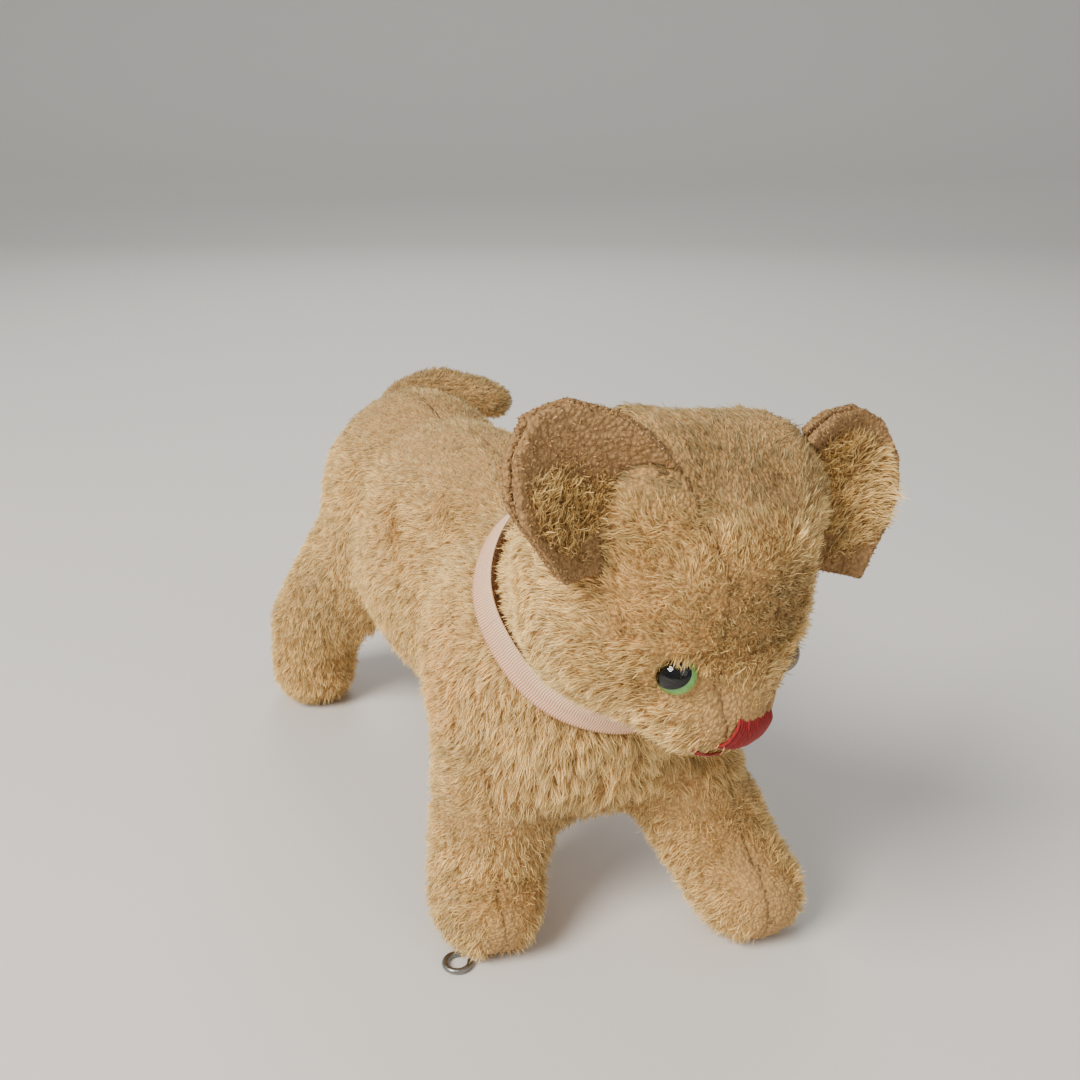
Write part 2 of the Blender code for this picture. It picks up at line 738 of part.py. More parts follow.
def head_form():
    """Skull, cheeks, brow and muzzle as one closed surface, flat at the neck."""
    bm = bmesh.new()
    lump(bm, Vector((0.0, 0.0, 0.0)), (0.5 * HEAD_WIDTH, 0.5 * HEAD_DEPTH, 0.5 * HEAD_HEIGHT))
    cheek_radius = 0.28 * HEAD_WIDTH
    corner_radius = 0.26 * CROWN_WIDTH
    for side in (-1, 1):
        cheek = Vector((side * (0.5 * HEAD_WIDTH - cheek_radius + 0.001), -0.05 * HEAD_DEPTH, -0.003))
        lump(bm, cheek, (cheek_radius, cheek_radius, cheek_radius))
        corner = Vector((side * (0.5 * CROWN_WIDTH - corner_radius), 0.002, CROWN_HEIGHT - corner_radius))
        lump(bm, corner, (corner_radius, 1.1 * corner_radius, corner_radius))
    muzzle_depth = 0.0115
    muzzle = Vector((0.0, -MUZZLE_REACH + muzzle_depth, -MUZZLE_DROP))
    lump(bm, muzzle, (0.5 * MUZZLE_WIDTH, muzzle_depth, 0.5 * MUZZLE_HEIGHT))
    brow = Vector((0.0, -0.20 * HEAD_DEPTH, 0.20 * HEAD_HEIGHT))
    lump(bm, brow, (0.32 * HEAD_WIDTH, 0.27 * HEAD_DEPTH, 0.34 * HEAD_HEIGHT))
    crown = Vector((0.0, 0.002, CROWN_HEIGHT - corner_radius))
    lump(bm, crown, (0.4 * CROWN_WIDTH, corner_radius, corner_radius - 0.0005))
    bmesh.ops.transform(bm, matrix=HEAD_FRAME, verts=bm.verts)
    limb(bm, NECK_AT + 0.002 * NECK_AXIS, NECK_RADIUS, HEAD_AT, 0.4 * HEAD_WIDTH)
    mesh = soft_form(bm, "head_form", HEAD_DETAIL)
    return trimmed(mesh, [(NECK_AT + 0.5 * SWIVEL_GAP * NECK_AXIS, -NECK_AXIS)])


def head_seams():
    """The chin seam, and the centre gusset's edges from nose to crown and crown to nape."""
    nose_y = -MUZZLE_REACH
    nape_y = 0.5 * HEAD_DEPTH
    planes = [(in_head(0.0, 0.0, 0.0), HEAD_FRAME.to_3x3() @ X_AXIS)]
    planes.append((in_head(0.0, 0.0, NOSE_BOTTOM), HEAD_FRAME.to_3x3() @ Z_AXIS))
    for side in (-1.0, 1.0):
        for y, width, end_y, end_width in (
            (nose_y, GUSSET_NOSE_WIDTH, 0.0, GUSSET_CROWN_WIDTH),
            (0.0, GUSSET_CROWN_WIDTH, nape_y, GUSSET_NAPE_WIDTH),
        ):
            run = Vector((side * 0.5 * (end_width - width), end_y - y, 0.0)).normalized()
            normal = HEAD_FRAME.to_3x3() @ run.cross(Z_AXIS)
            planes.append((in_head(side * 0.5 * width, y, 0.0), normal))
    return planes


def gusset_half_width(y):
    """Half the centre gusset's width at a depth in the head."""
    if y < 0.0:
        share = (y + MUZZLE_REACH) / MUZZLE_REACH
        return 0.5 * (GUSSET_NOSE_WIDTH + share * (GUSSET_CROWN_WIDTH - GUSSET_NOSE_WIDTH))
    share = y / (0.5 * HEAD_DEPTH)
    return 0.5 * (GUSSET_CROWN_WIDTH + share * (GUSSET_NAPE_WIDTH - GUSSET_CROWN_WIDTH))


def head_panel(point):
    """Which cover a point of the head's surface belongs to."""
    local = HEAD_FRAME.inverted() @ point
    half = 0.5 * SEAM_GAP
    inset = gusset_half_width(local.y) - abs(local.x)
    above = local.z - NOSE_BOTTOM
    slack = half * 0.9
    if inset > slack and above > slack:
        return "head_centre_gusset"
    if (inset < -slack or above < -slack) and abs(local.x) > slack:
        return "head_side_left" if local.x > 0.0 else "head_side_right"
    return None


def surface_point(tree, x, z):
    """The face's surface straight ahead of a point in the head's axes, and its outward normal."""
    aim = HEAD_FRAME.to_3x3() @ Y_AXIS
    hit, normal, _, _ = tree.ray_cast(in_head(x, -0.10, z), aim)
    return hit, normal


def eye_seat(tree, side):
    """Where an eye sits: its centre on the face, and the way it looks."""
    hit, normal = surface_point(tree, side * EYE_SPREAD, EYE_HEIGHT)
    return hit - EYE_SINK * normal, normal


def build_eye(name, at, look, parent):
    """A glass half-ball over a black pupil and a green disc, with a looped wire shank."""
    bm = bmesh.new()
    bmesh.ops.create_uvsphere(bm, u_segments=16, v_segments=10, radius=EYE_RADIUS)
    bmesh.ops.transform(bm, matrix=axis_frame(at, look), verts=bm.verts)
    dome = trimmed(to_mesh(bm, "eye_glass_" + name), [(at, -look)])
    add_object("eye_glass_" + name, dome, CLEAR, 0.05, parent=parent)
    below = -FIT
    pupil = rod_mesh("eye_pupil_" + name, at, look, PUPIL_RADIUS, below - PUPIL_THICKNESS, below, 24)
    add_object("eye_pupil_" + name, pupil, BLACK, 0.2, parent=parent)
    below -= PUPIL_THICKNESS + FIT
    iris = rod_mesh("eye_iris_" + name, at, look, IRIS_RADIUS, below - IRIS_THICKNESS, below, 24)
    add_object("eye_iris_" + name, iris, GREEN, 0.3, parent=parent)
    below -= IRIS_THICKNESS + FIT
    side = look.cross(Z_AXIS).normalized()
    centre = at - (SHANK_LENGTH - SHANK_LOOP_RADIUS) * look
    start = at + (below - SHANK_WIRE_RADIUS) * look
    loop = arc(centre, look, side, SHANK_LOOP_RADIUS, 12.0, 335.0, 13)
    shank = tube_mesh("eye_shank_" + name, [start, *loop], SHANK_WIRE_RADIUS, sides=1)
    add_object("eye_shank_" + name, shank, STEEL, 0.4, 1.0, parent=parent)
    socket = rod_mesh("eye_socket_" + name, at, look, EYE_RADIUS + FIT, below - FIT, 2.0 * EYE_RADIUS, 20)
    slot_radius = SHANK_LOOP_RADIUS + SHANK_WIRE_RADIUS + FIT
    slot = rod_mesh("eye_slot_" + name, at, look, slot_radius, -SHANK_LENGTH - 2.0 * FIT, 0.0, 16)
    return add_cutter("eye_socket_" + name, socket), add_cutter("eye_slot_" + name, slot)


def ear_sheet(name, side):
    """The ear's middle surface: a cupped half-oval grid, wide at the head and round at the tip."""
    columns = 8
    rows = 7
    across = EAR_ACROSS[name].normalized()
    rise = EAR_RISE[name]
    rise = (rise - rise.dot(across) * across).normalized()
    front = side * across.cross(rise)
    if front.y > 0.0:
        front = -front
    base = Vector((side * EAR_BASE.x, EAR_BASE.y, EAR_BASE.z))
    bm = bmesh.new()
    bmesh.ops.create_grid(bm, x_segments=columns, y_segments=rows, size=1.0)
    for vert in bm.verts:
        u = vert.co.x
        v = 0.5 * (vert.co.y + 1.0)
        half_width = 0.5 * EAR_WIDTH * math.sqrt(1.0 - (0.985 * v) ** 3)
        height = -EAR_ROOT + v * (EAR_HEIGHT + EAR_ROOT)
        cup = EAR_CUP * (u * half_width / (0.5 * EAR_WIDTH)) ** 2
        lean = EAR_LEAN * max(0.0, height / EAR_HEIGHT)
        vert.co = base + (u * half_width + lean) * across + height * rise + cup * front
    bmesh.ops.transform(bm, matrix=HEAD_FRAME, verts=bm.verts)
    bm.normal_update()
    facing = HEAD_FRAME.to_3x3() @ front
    if sum((face.normal.dot(facing) for face in bm.faces), 0.0) < 0.0:
        bmesh.ops.reverse_faces(bm, faces=bm.faces)
    return to_mesh(bm, "ear_sheet")


def build_ear(name, side, parent, seat):
    """Two layers of cloth, sewn at the rim: a lining in front and a backing behind."""
    for layer, direction in (("lining", 1.0), ("back", -1.0)):
        sheet = grown(ear_sheet(name, side), direction * 0.5 * SEAM_GAP, "ear")
        ear = add_object(f"ear_{layer}_{name}", sheet, WORN_CLOTH, 0.95, parent=parent)
        wall = ear.modifiers.new("wall", "SOLIDIFY")
        wall.thickness = EAR_WALL
        wall.offset = direction
        subtract(ear, seat)


def build_nose(form, tree, parent):
    """Satin stitches laid over the muzzle's tip, and a mouth of one thread below them."""
    bm = bmesh.new()
    bm.from_mesh(form)
    turn = HEAD_FRAME.to_3x3()
    cuts = (
        (in_head(0.0, 0.0, NOSE_TOP), turn @ Z_AXIS),
        (in_head(0.0, 0.0, NOSE_BOTTOM), -(turn @ Z_AXIS)),
        (in_head(0.5 * NOSE_WIDTH, 0.0, 0.0), turn @ X_AXIS),
        (in_head(-0.5 * NOSE_WIDTH, 0.0, 0.0), -(turn @ X_AXIS)),
        (in_head(0.0, -0.5 * MUZZLE_REACH, 0.0), turn @ Y_AXIS),
    )
    for point, normal in cuts:
        everything = bm.verts[:] + bm.edges[:] + bm.faces[:]
        bmesh.ops.bisect_plane(
            bm, geom=everything, dist=1e-7, plane_co=point, plane_no=normal, clear_outer=True
        )
    patch = grown(to_mesh(bm, "nose"), FIT, "nose_stitching")
    nose = add_object("nose_stitching", patch, RED_THREAD, 0.6, parent=parent)
    wall = nose.modifiers.new("thread", "SOLIDIFY")
    wall.thickness = STITCH_THICKNESS
    wall.offset = 1.0

    stand = MOUTH_THREAD_RADIUS + FIT
    spots = []
    count = 13
    for index in range(count):
        share = -1.0 + 2.0 * index / (count - 1)
        height = NOSE_BOTTOM - 0.0018 + MOUTH_RISE * share**2
        hit, normal = surface_point(tree, share * MOUTH_HALF_WIDTH, height)
        spots.append(hit + stand * normal)
    mouth = tube_mesh("mouth_stitching", spots, MOUTH_THREAD_RADIUS, sides=1)
    add_object("mouth_stitching", mouth, RED_THREAD, 0.6, parent=parent)


def build_head(swivel, neck_pocket):
    """Covers, filling, eyes, ears and stitching, all turning with the swivel."""
    form = head_form()
    tree_mesh = bmesh.new()
    tree_mesh.from_mesh(form)
    tree = BVHTree.FromBMesh(tree_mesh)
    tree_mesh.free()

    openings = []
    holes = [(NECK_AT, NECK_AXIS, PIN_HOLE_RADIUS)]
    for name, side in (("left", 1.0), ("right", -1.0)):
        at, look = eye_seat(tree, side)
        openings.extend(build_eye(name, at, look, swivel))
        holes.append((at, look, EYE_RADIUS + FIT))

    for name, mesh in panels(form, head_seams(), head_panel, holes).items():
        add_cover(name, mesh, MOHAIR, swivel)

    packed = grown(form, -COVER - FILL_GAP, "head_stuffing")
    filling = add_object("head_stuffing", packed, WOOD_WOOL, parent=swivel)
    subtract(filling, neck_pocket, *openings)

    seat = add_cutter("head_surface", grown(form, FIT, "head_surface"))
    for name, side in (("left", 1.0), ("right", -1.0)):
        build_ear(name, side, swivel, seat)
    build_nose(form, tree, swivel)


# ---- the whole kitten ----------------------------------------------------------------------------


def add_empty(name, matrix, parent=None):
    empty = bpy.data.objects.new(name, None)
    empty.matrix_world = matrix
    empty.parent = parent
    KITTEN.objects.link(empty)
    return empty


def centre_on_origin(root):
    """Slides the whole kitten so that its box stands centred on the origin."""
    bpy.context.view_layer.update()
    graph = bpy.context.evaluated_depsgraph_get()
    corners = []
    for part in KITTEN.objects:
        if part.type == "MESH":
            shape = part.evaluated_get(graph).data
            corners.extend(part.matrix_world @ vert.co for vert in shape.vertices)
    for axis in (0, 1):
        low = min(corner[axis] for corner in corners)
        high = max(corner[axis] for corner in corners)
        root.location[axis] -= 0.5 * (low + high)


def main():
    root = add_empty("kitten", Matrix.Identity(4))
    swivel = add_empty("head_swivel", axis_frame(NECK_AT, NECK_AXIS), root)
    bpy.context.view_layer.update()

    pocket_radius = DISC_RADIUS + FIT
    pocket_reach = POCKET_DEPTH + FIT
    body_pocket = rod_mesh("body_pocket", NECK_AT, NECK_AXIS, pocket_radius, -pocket_reach, CAP_DEPTH, 40)
    head_pocket = rod_mesh("head_pocket", NECK_AT, NECK_AXIS, pocket_radius, -CAP_DEPTH, pocket_reach, 40)
    form = build_body(root, add_cutter("body_pocket", body_pocket))
    build_tail(root, form)
    build_neck(root, swivel)
    build_ribbon(root, form)
    build_head(swivel, add_cutter("head_pocket", head_pocket))
    for cutter in CUTTERS.objects:
        cutter.parent = root
    centre_on_origin(root)


main()
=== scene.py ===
"""Looks of a small mohair kitten: worn pile on woven backing, glass eyes, stitches, ribbon."""

import json
import math

import bmesh
import bpy
import numpy as np
from mathutils import Euler, Matrix, Vector
from mathutils.bvhtree import BVHTree
from mathutils.kdtree import KDTree


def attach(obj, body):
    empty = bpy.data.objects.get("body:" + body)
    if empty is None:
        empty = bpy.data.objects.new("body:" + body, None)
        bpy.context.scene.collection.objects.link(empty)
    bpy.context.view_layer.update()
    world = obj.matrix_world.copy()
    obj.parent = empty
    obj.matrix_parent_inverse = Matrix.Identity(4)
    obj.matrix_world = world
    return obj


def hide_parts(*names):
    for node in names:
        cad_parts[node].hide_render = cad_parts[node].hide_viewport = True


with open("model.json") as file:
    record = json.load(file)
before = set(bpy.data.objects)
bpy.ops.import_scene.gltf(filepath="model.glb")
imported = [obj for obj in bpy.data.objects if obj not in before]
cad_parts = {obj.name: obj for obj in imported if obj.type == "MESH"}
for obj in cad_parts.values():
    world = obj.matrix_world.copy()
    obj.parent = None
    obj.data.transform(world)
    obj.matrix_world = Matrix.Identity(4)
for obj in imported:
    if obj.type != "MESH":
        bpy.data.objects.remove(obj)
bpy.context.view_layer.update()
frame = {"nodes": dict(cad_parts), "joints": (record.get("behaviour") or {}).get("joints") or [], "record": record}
NODES = frame["nodes"]
SCENE = bpy.context.scene
MM = 0.001

# ---- where things are ----------------------------------------------------------------------

JOINT = frame["joints"][0]
NECK_AT = Vector(JOINT["pos_m"])
NECK_AXIS = Vector(JOINT["axis"]).normalized()
# the middle of the head from the joint; its own axes are X to its left, -Y ahead and Z up
HEAD_OFFSET = Vector((0.0, -0.0185, 0.0098))
HEAD_FRAME = Matrix.Translation(NECK_AT + HEAD_OFFSET) @ Euler(
    (math.radians(18.0), math.radians(9.0), math.radians(10.0)), "XYZ"
).to_matrix().to_4x4()
NOSE_TOP = -0.0065
NOSE_BOTTOM = -0.0139
MOUTH_HALF_WIDTH = 0.0085

# where the camera stands, and its lens
CAMERA_FROM_NECK = Vector((-0.0955, -0.1570, 0.0800))
CAMERA_TILT = math.radians(69.1)
CAMERA_TURN = math.radians(-27.5)
SENSOR_MM = 36.0
LENS_MM = SENSOR_MM * 1150.0 / 1080.0


def in_head(x, y, z):
    """A point given in the head's own axes, in metres."""
    return HEAD_FRAME @ Vector((x, y, z))


# ---- camera, floor and light ------------------------------------------------------------------


def set_camera():
    data = bpy.data.cameras.new("camera")
    camera = bpy.data.objects.new("camera", data)
    SCENE.collection.objects.link(camera)
    camera.location = NECK_AT + CAMERA_FROM_NECK
    camera.rotation_euler = (CAMERA_TILT, 0.0, CAMERA_TURN)
    data.sensor_width = SENSOR_MM
    data.lens = LENS_MM
    data.clip_start = 0.005
    data.clip_end = 20.0
    SCENE.camera = camera


def add_light(name, place, target, size, power, colour=(1.0, 1.0, 1.0)):
    data = bpy.data.lights.new(name, "AREA")
    data.shape = "DISK"
    data.size = size
    data.energy = power
    data.color = colour
    light = bpy.data.objects.new(name, data)
    light.location = place
    light.rotation_euler = (Vector(target) - Vector(place)).to_track_quat("-Z", "Y").to_euler()
    SCENE.collection.objects.link(light)


def set_stage():
    """A pale floor that curves up into a backdrop, with soft window light from the left."""
    bm = bmesh.new()
    bmesh.ops.create_grid(bm, x_segments=2, y_segments=2, size=3.0)
    far = [edge for edge in bm.edges if all(vert.co.y > 2.9 for vert in edge.verts)]
    for lift, push in ((0.05, 0.35), (0.25, 0.3), (0.7, 0.15), (2.5, 0.0)):
        moved = bmesh.ops.extrude_edge_only(bm, edges=far)["geom"]
        verts = [item for item in moved if isinstance(item, bmesh.types.BMVert)]
        far = [item for item in moved if isinstance(item, bmesh.types.BMEdge)]
        bmesh.ops.translate(bm, verts=verts, vec=(0.0, push, lift))
    turn = Matrix.Rotation(CAMERA_TURN, 4, "Z")
    bmesh.ops.transform(bm, matrix=turn @ Matrix.Translation((0.0, -1.9, 0.0)), verts=bm.verts)
    floor = finished("floor", bm)
    floor.data.materials.append(plain_surface("pale_floor", (0.74, 0.71, 0.66), 0.6))
    world = bpy.data.worlds.new("room")
    world.use_nodes = True
    sky = world.node_tree.nodes["Background"]
    sky.inputs["Color"].default_value = (0.90, 0.94, 1.0, 1.0)
    sky.inputs["Strength"].default_value = 0.42
    SCENE.world = world
    add_light("window", (-0.75, -0.25, 0.75), (0.0, -0.02, 0.05), 0.50, 16.0, (1.0, 0.96, 0.90))
    add_light("front_fill", (0.25, -1.0, 0.55), (0.0, 0.0, 0.05), 0.8, 1.8, (1.0, 0.96, 0.9))
    add_light("back_rim", (0.3, 0.8, 0.7), (0.0, 0.0, 0.06), 0.6, 3.0)


# ---- shader maths ---------------------------------------------------------------------------


ONCE_ROUND = 6.2832


class Value:
    """A shader socket that takes Python's operators."""

    def __init__(self, shader, socket):
        self.shader = shader
        self.socket = socket

    def maths(self, operation, first, second=None):
        inputs = {0: first} if second is None else {0: first, 1: second}
        return self.shader.node("ShaderNodeMath", {"operation": operation}, inputs)

    def __add__(self, other):
        return self.maths("ADD", self, other)

    __radd__ = __add__

    def __rsub__(self, other):
        return self.maths("SUBTRACT", other, self)

    def __mul__(self, other):
        return self.maths("MULTIPLY", self, other)

    __rmul__ = __mul__

    def __pow__(self, other):
        return self.maths("POWER", self, other)

    def clamp(self):
        return self.maths("MINIMUM", self.maths("MAXIMUM", self, 0.0), 1.0)

    def step(self, low, high):
        """0 below low and 1 above high, with a smooth rise between."""
        inputs = {"Value": self, "From Min": low, "From Max": high}
        settings = {"interpolation_type": "SMOOTHSTEP"}
        return self.shader.node("ShaderNodeMapRange", settings, inputs)

    def sine(self):
        return self.maths("SINE", self)


class Shader:
    """Builds one material."""

    def __init__(self, name):
        self.material = bpy.data.materials.new(name)
        self.material.use_nodes = True
        self.tree = self.material.node_tree
        self.surface = self.tree.nodes["Principled BSDF"]

    def put(self, socket, value):
        if isinstance(value, Value):
            self.tree.links.new(value.socket, socket)
        elif isinstance(value, tuple) and socket.type == "RGBA":
            socket.default_value = (*value, 1.0)
        else:
            socket.default_value = value

    def node(self, kind, settings=None, inputs=None, output=0):
        made = self.tree.nodes.new(kind)
        for key, value in (settings or {}).items():
            setattr(made, key, value)
        for key, value in (inputs or {}).items():
            self.put(made.inputs[key], value)
        return Value(self, made.outputs[output])

    def place(self):
        return self.node("ShaderNodeTexCoord", output="Object")

    def attribute(self, name):
        return self.node("ShaderNodeAttribute", {"attribute_name": name}, output="Fac")

    def noise(self, scale, detail=3.0, roughness=0.55):
        inputs = {"Vector": self.place(), "Scale": scale, "Detail": detail, "Roughness": roughness}
        return self.node("ShaderNodeTexNoise", {}, inputs, output="Fac")

    def cells(self, scale):
        inputs = {"Vector": self.place(), "Scale": scale}
        return self.node("ShaderNodeTexVoronoi", {"feature": "F1"}, inputs, output="Distance")

    def mix(self, factor, first, second):
        """Mixes two colours; factor 0 gives the first."""
        settings = {"data_type": "RGBA", "blend_type": "MIX"}
        return self.node("ShaderNodeMix", settings, {0: factor, 6: first, 7: second}, output=2)

    def scaled(self, colour, amount):
        """A colour made lighter or darker."""
        settings = {"operation": "SCALE"}
        return self.node("ShaderNodeVectorMath", settings, {0: colour, "Scale": amount})

    def bump(self, height, distance):
        inputs = {"Height": height, "Distance": distance, "Strength": 1.0}
        return self.node("ShaderNodeBump", {}, inputs, output="Normal")

    def finish(self, **sockets):
        for key, value in sockets.items():
            self.put(self.surface.inputs[key.replace("_", " ")], value)
        return self.material


def plain_surface(name, colour, roughness):
    return Shader(name).finish(Base_Color=colour, Roughness=roughness)


# colours, in linear light
ROOT_TAN = (0.40, 0.195, 0.045)
TIP_CREAM = (1.0, 0.73, 0.29)
AMBER = (0.80, 0.40, 0.12)
# dust, and painted shade in the crease between chest and legs
DUST_AND_SHADE_GREY = (0.26, 0.175, 0.075)
BACKING = (0.66, 0.38, 0.13)
EAR_BROWN = (0.44, 0.255, 0.10)
EAR_STAIN = (0.42, 0.23, 0.085)
# painted shade: the dark between the backing's loops and along its seams
SHADE_BROWN = (0.20, 0.10, 0.035)
RIB_SHADOW = (0.80, 0.22, 0.09)
RIB_PINK = (1.0, 0.70, 0.44)
FADED_EDGE = (1.0, 0.80, 0.55)
DULL_STEEL = (0.27, 0.26, 0.24)
RUST = (0.13, 0.07, 0.035)
THREAD_RED = (0.32, 0.004, 0.003)
THREAD_SHADOW = (0.09, 0.001, 0.001)


def pile_material(name, stain=AMBER, hold=0.7):
    """Mohair strands: darker at the root, partly their own colour and partly painted shade down among them, silky
    and pale at the tip, dusty where worn, with painted shade in the crease between chest and legs.
    """
    g = Shader(name)
    along = g.attribute("along")
    shade = g.attribute("shade")
    grime = g.attribute("grime")
    amber = g.attribute("amber")
    # darker towards the root: partly the fibre's own colour, partly painted shade down among the strands
    colour = g.mix(along**0.85, ROOT_TAN, TIP_CREAM)
    wide = g.noise(60.0, 2.0)
    blotch = g.noise(230.0, 3.0)
    colour = g.mix((amber * hold).clamp(), colour, g.scaled(stain, 0.7 + 0.6 * along))
    # towards grey where dusty, and as painted shade in the crease between chest and legs
    colour = g.mix((grime * (0.25 + 1.2 * blotch)).clamp(), colour, DUST_AND_SHADE_GREY)
    colour = g.scaled(colour, 0.70 + 0.28 * shade + 0.40 * wide + 0.25 * blotch)
    roughness = 0.52 - 0.10 * along + 0.15 * grime
    return g.finish(Base_Color=colour, Roughness=roughness, Specular_IOR_Level=0.4)


def cloth_material(name, colour, loop_scale, depth, dark):
    """Woven backing: small loops with painted shade between them, stained in patches, with a painted shadow along
    the seams.
    """
    g = Shader(name)
    loops = g.cells(loop_scale)
    stain = g.noise(160.0, 4.0)
    fine = g.noise(2600.0, 2.0)
    seam = g.attribute("seam")
    # painted shade in the hollows between the loops
    tone = g.mix((loops * 1.3).clamp() * dark, colour, SHADE_BROWN)
    tone = g.scaled(tone, 0.72 + 0.42 * stain + 0.22 * fine)
    # painted shadow of the seam groove
    tone = g.mix(seam * 0.35, tone, SHADE_BROWN)
    height = 1.0 - loops * 1.2 + 0.35 * fine
    normal = g.bump(height, depth)
    return g.finish(Base_Color=tone, Roughness=0.86 + 0.1 * stain, Normal=normal)


def thread_material(name, colour, dark, twist):
    """Stranded thread with a fine twist along it."""
    g = Shader(name)
    run = g.attribute("run")
    turn = g.attribute("turn")
    ply = (run * twist + turn * ONCE_ROUND).sine()
    fine = g.noise(1500.0, 2.0)
    tone = g.mix((0.2 + 1.1 * fine + 0.12 * ply).clamp(), dark, colour)
    normal = g.bump(ply * 0.4 + fine, 0.00005)
    return g.finish(Base_Color=tone, Roughness=0.55 + 0.15 * fine, Normal=normal)


# the ribbon's ribs: how many go round it, and how each sways from edge to edge
RIBS = 300.0
RIB_WAVES = 12.6
RIB_SWAY = 1.1


def ribbon_material():
    """Faded pink taffeta: fine ribs across the band, paler along one edge."""
    g = Shader("faded_ribbon")
    run = g.attribute("run")
    across = g.attribute("across")
    rib = (run * ONCE_ROUND + (across * RIB_WAVES).sine() * RIB_SWAY).sine()
    fade = g.noise(120.0, 3.0)
    weft = (across * 150.0).sine()
    tone = g.mix((0.5 + 0.5 * rib).clamp(), RIB_SHADOW, RIB_PINK)
    tone = g.mix((across * 0.40 + 0.15 * fade).clamp(), tone, FADED_EDGE)
    tone = g.scaled(tone, 0.98 + 0.10 * weft * rib + 0.12 * fade)
    normal = g.bump(rib + 0.3 * weft, 0.00007)
    return g.finish(Base_Color=tone, Roughness=0.42 + 0.12 * fade, Normal=normal)


def steel_material():
    g = Shader("dull_steel")
    spots = g.noise(420.0, 5.0, 0.65)
    scratch = g.noise(2400.0, 2.0)
    tarnish = spots.step(0.50, 0.72) * 0.35
    tone = g.mix(tarnish, DULL_STEEL, RUST)
    normal = g.bump(scratch + spots, 0.00003)
    roughness = 0.30 + 0.18 * scratch + tarnish * 0.5
    return g.finish(Base_Color=tone, Roughness=roughness, Metallic=1.0 - tarnish, Normal=normal)


def board_material():
    g = Shader("pressed_hardboard")
    fibre = g.noise(900.0, 5.0, 0.7)
    fleck = g.cells(1300.0)
    tone = g.mix(fibre.step(0.3, 0.7), (0.16, 0.085, 0.04), (0.36, 0.21, 0.11))
    tone = g.scaled(tone, 0.8 + 0.5 * fleck)
    return g.finish(Base_Color=tone, Roughness=0.75 + 0.2 * fibre, Normal=g.bump(fibre, 0.0001))


def wood_wool_material():
    g = Shader("packed_wood_wool")
    shred = g.noise(700.0, 6.0, 0.75)
    strand = (shred * 60.0).sine()
    tone = g.mix((0.5 + 0.5 * strand).clamp(), (0.42, 0.30, 0.14), (0.78, 0.64, 0.40))
    return g.finish(Base_Color=tone, Roughness=0.8 + 0.1 * shred, Normal=g.bump(strand, 0.0003))


def glass_material():
    g = Shader("clear_glass")
    wear = g.noise(900.0, 2.0)
    return g.finish(
        Base_Color=(0.97, 1.0, 0.97),
        Roughness=0.015 + 0.03 * wear.step(0.55, 0.8),
        IOR=1.5,
        Transmission_Weight=1.0,
    )


def iris_material():
    g = Shader("green_eye_glass")
    streak = g.noise(1600.0, 4.0)
    tone = g.mix(streak, (0.06, 0.26, 0.03), (0.24, 0.60, 0.12))
    return g.finish(
        Base_Color=tone,
        Roughness=0.3 + 0.1 * streak,
        # the faint emission is painted light, standing in for light the glass dome gathers onto the iris
        Emission_Color=tone,
        Emission_Strength=0.06,
    )


def pupil_material():
    g = Shader("black_eye_glass")
    haze = g.noise(700.0, 3.0)
    tone = g.mix(haze, (0.002, 0.002, 0.002), (0.012, 0.010, 0.009))
    return g.finish(Base_Color=tone, Roughness=0.3 + 0.1 * haze, Specular_IOR_Level=0.0)


# ---- making pieces ----------------------------------------------------------------------------

WELD = 0.000003
PACKING_SWELL = 1.45 * MM
CLOTH_THICKNESS = 0.5 * MM
# how deep a seam draws the cloth in, how far that reaches, and how far its shadow does
SEAM_DEPTH = 0.14 * MM
SEAM_REACH = 1.0 * MM
SEAM_SHADOW = 0.7 * MM
NO_SEAM_GAP = 0.009


def finished(name, bm):
    """Ends a bmesh as an object at the origin."""
    mesh = bpy.data.meshes.new(name)
    bm.to_mesh(mesh)
    bm.free()
    return linked(name, mesh)


def linked(name, mesh):
    mesh.shade_smooth()
    piece = bpy.data.objects.new(name, mesh)
    SCENE.collection.objects.link(piece)
    return piece


def dress(piece, body, slot, surface, *replaced):
    """Gives a piece its material and body, and hides the CAD nodes it stands for; the slot is not used."""
    piece.data.materials.clear()
    piece.data.materials.append(surface)
    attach(piece, body)
    if replaced:
        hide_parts(*replaced)
    return piece


def applied(piece):
    """The mesh of a piece with its modifiers worked out."""
    bpy.context.view_layer.update()
    graph = bpy.context.evaluated_depsgraph_get()
    mesh = bpy.data.meshes.new_from_object(piece.evaluated_get(graph))
    bpy.data.objects.remove(piece, do_unlink=True)
    return mesh


def copy_of(names, swell=0.0):
    """CAD nodes as one welded bmesh; swell moves each outwards along its normals."""
    bm = bmesh.new()
    for name in names:
        part = bmesh.new()
        part.from_mesh(NODES[name].data)
        bmesh.ops.remove_doubles(part, verts=part.verts, dist=WELD)
        if swell:
            part.normal_update()
            moves = [vert.normal * swell for vert in part.verts]
            for vert, move in zip(part.verts, moves):
                vert.co += move
        joined = bpy.data.meshes.new("joined")
        part.to_mesh(joined)
        part.free()
        bm.from_mesh(joined)
        bpy.data.meshes.remove(joined)
    return bm


def largest_island(mesh):
    """Keeps only the outer skin of a remeshed form."""
    bm = bmesh.new()
    bm.from_mesh(mesh)
    waiting = set(bm.faces)
    islands = []
    while waiting:
        island = [waiting.pop()]
        for face in island:
            for edge in face.edges:
                for beside in edge.link_faces:
                    if beside in waiting:
                        waiting.remove(beside)
                        island.append(beside)
        islands.append(island)
    islands.sort(key=len)
    inner = [face for island in islands[:-1] for face in island]
    bmesh.ops.delete(bm, geom=inner, context="FACES")
    bm.to_mesh(mesh)
    bm.free()
    return mesh


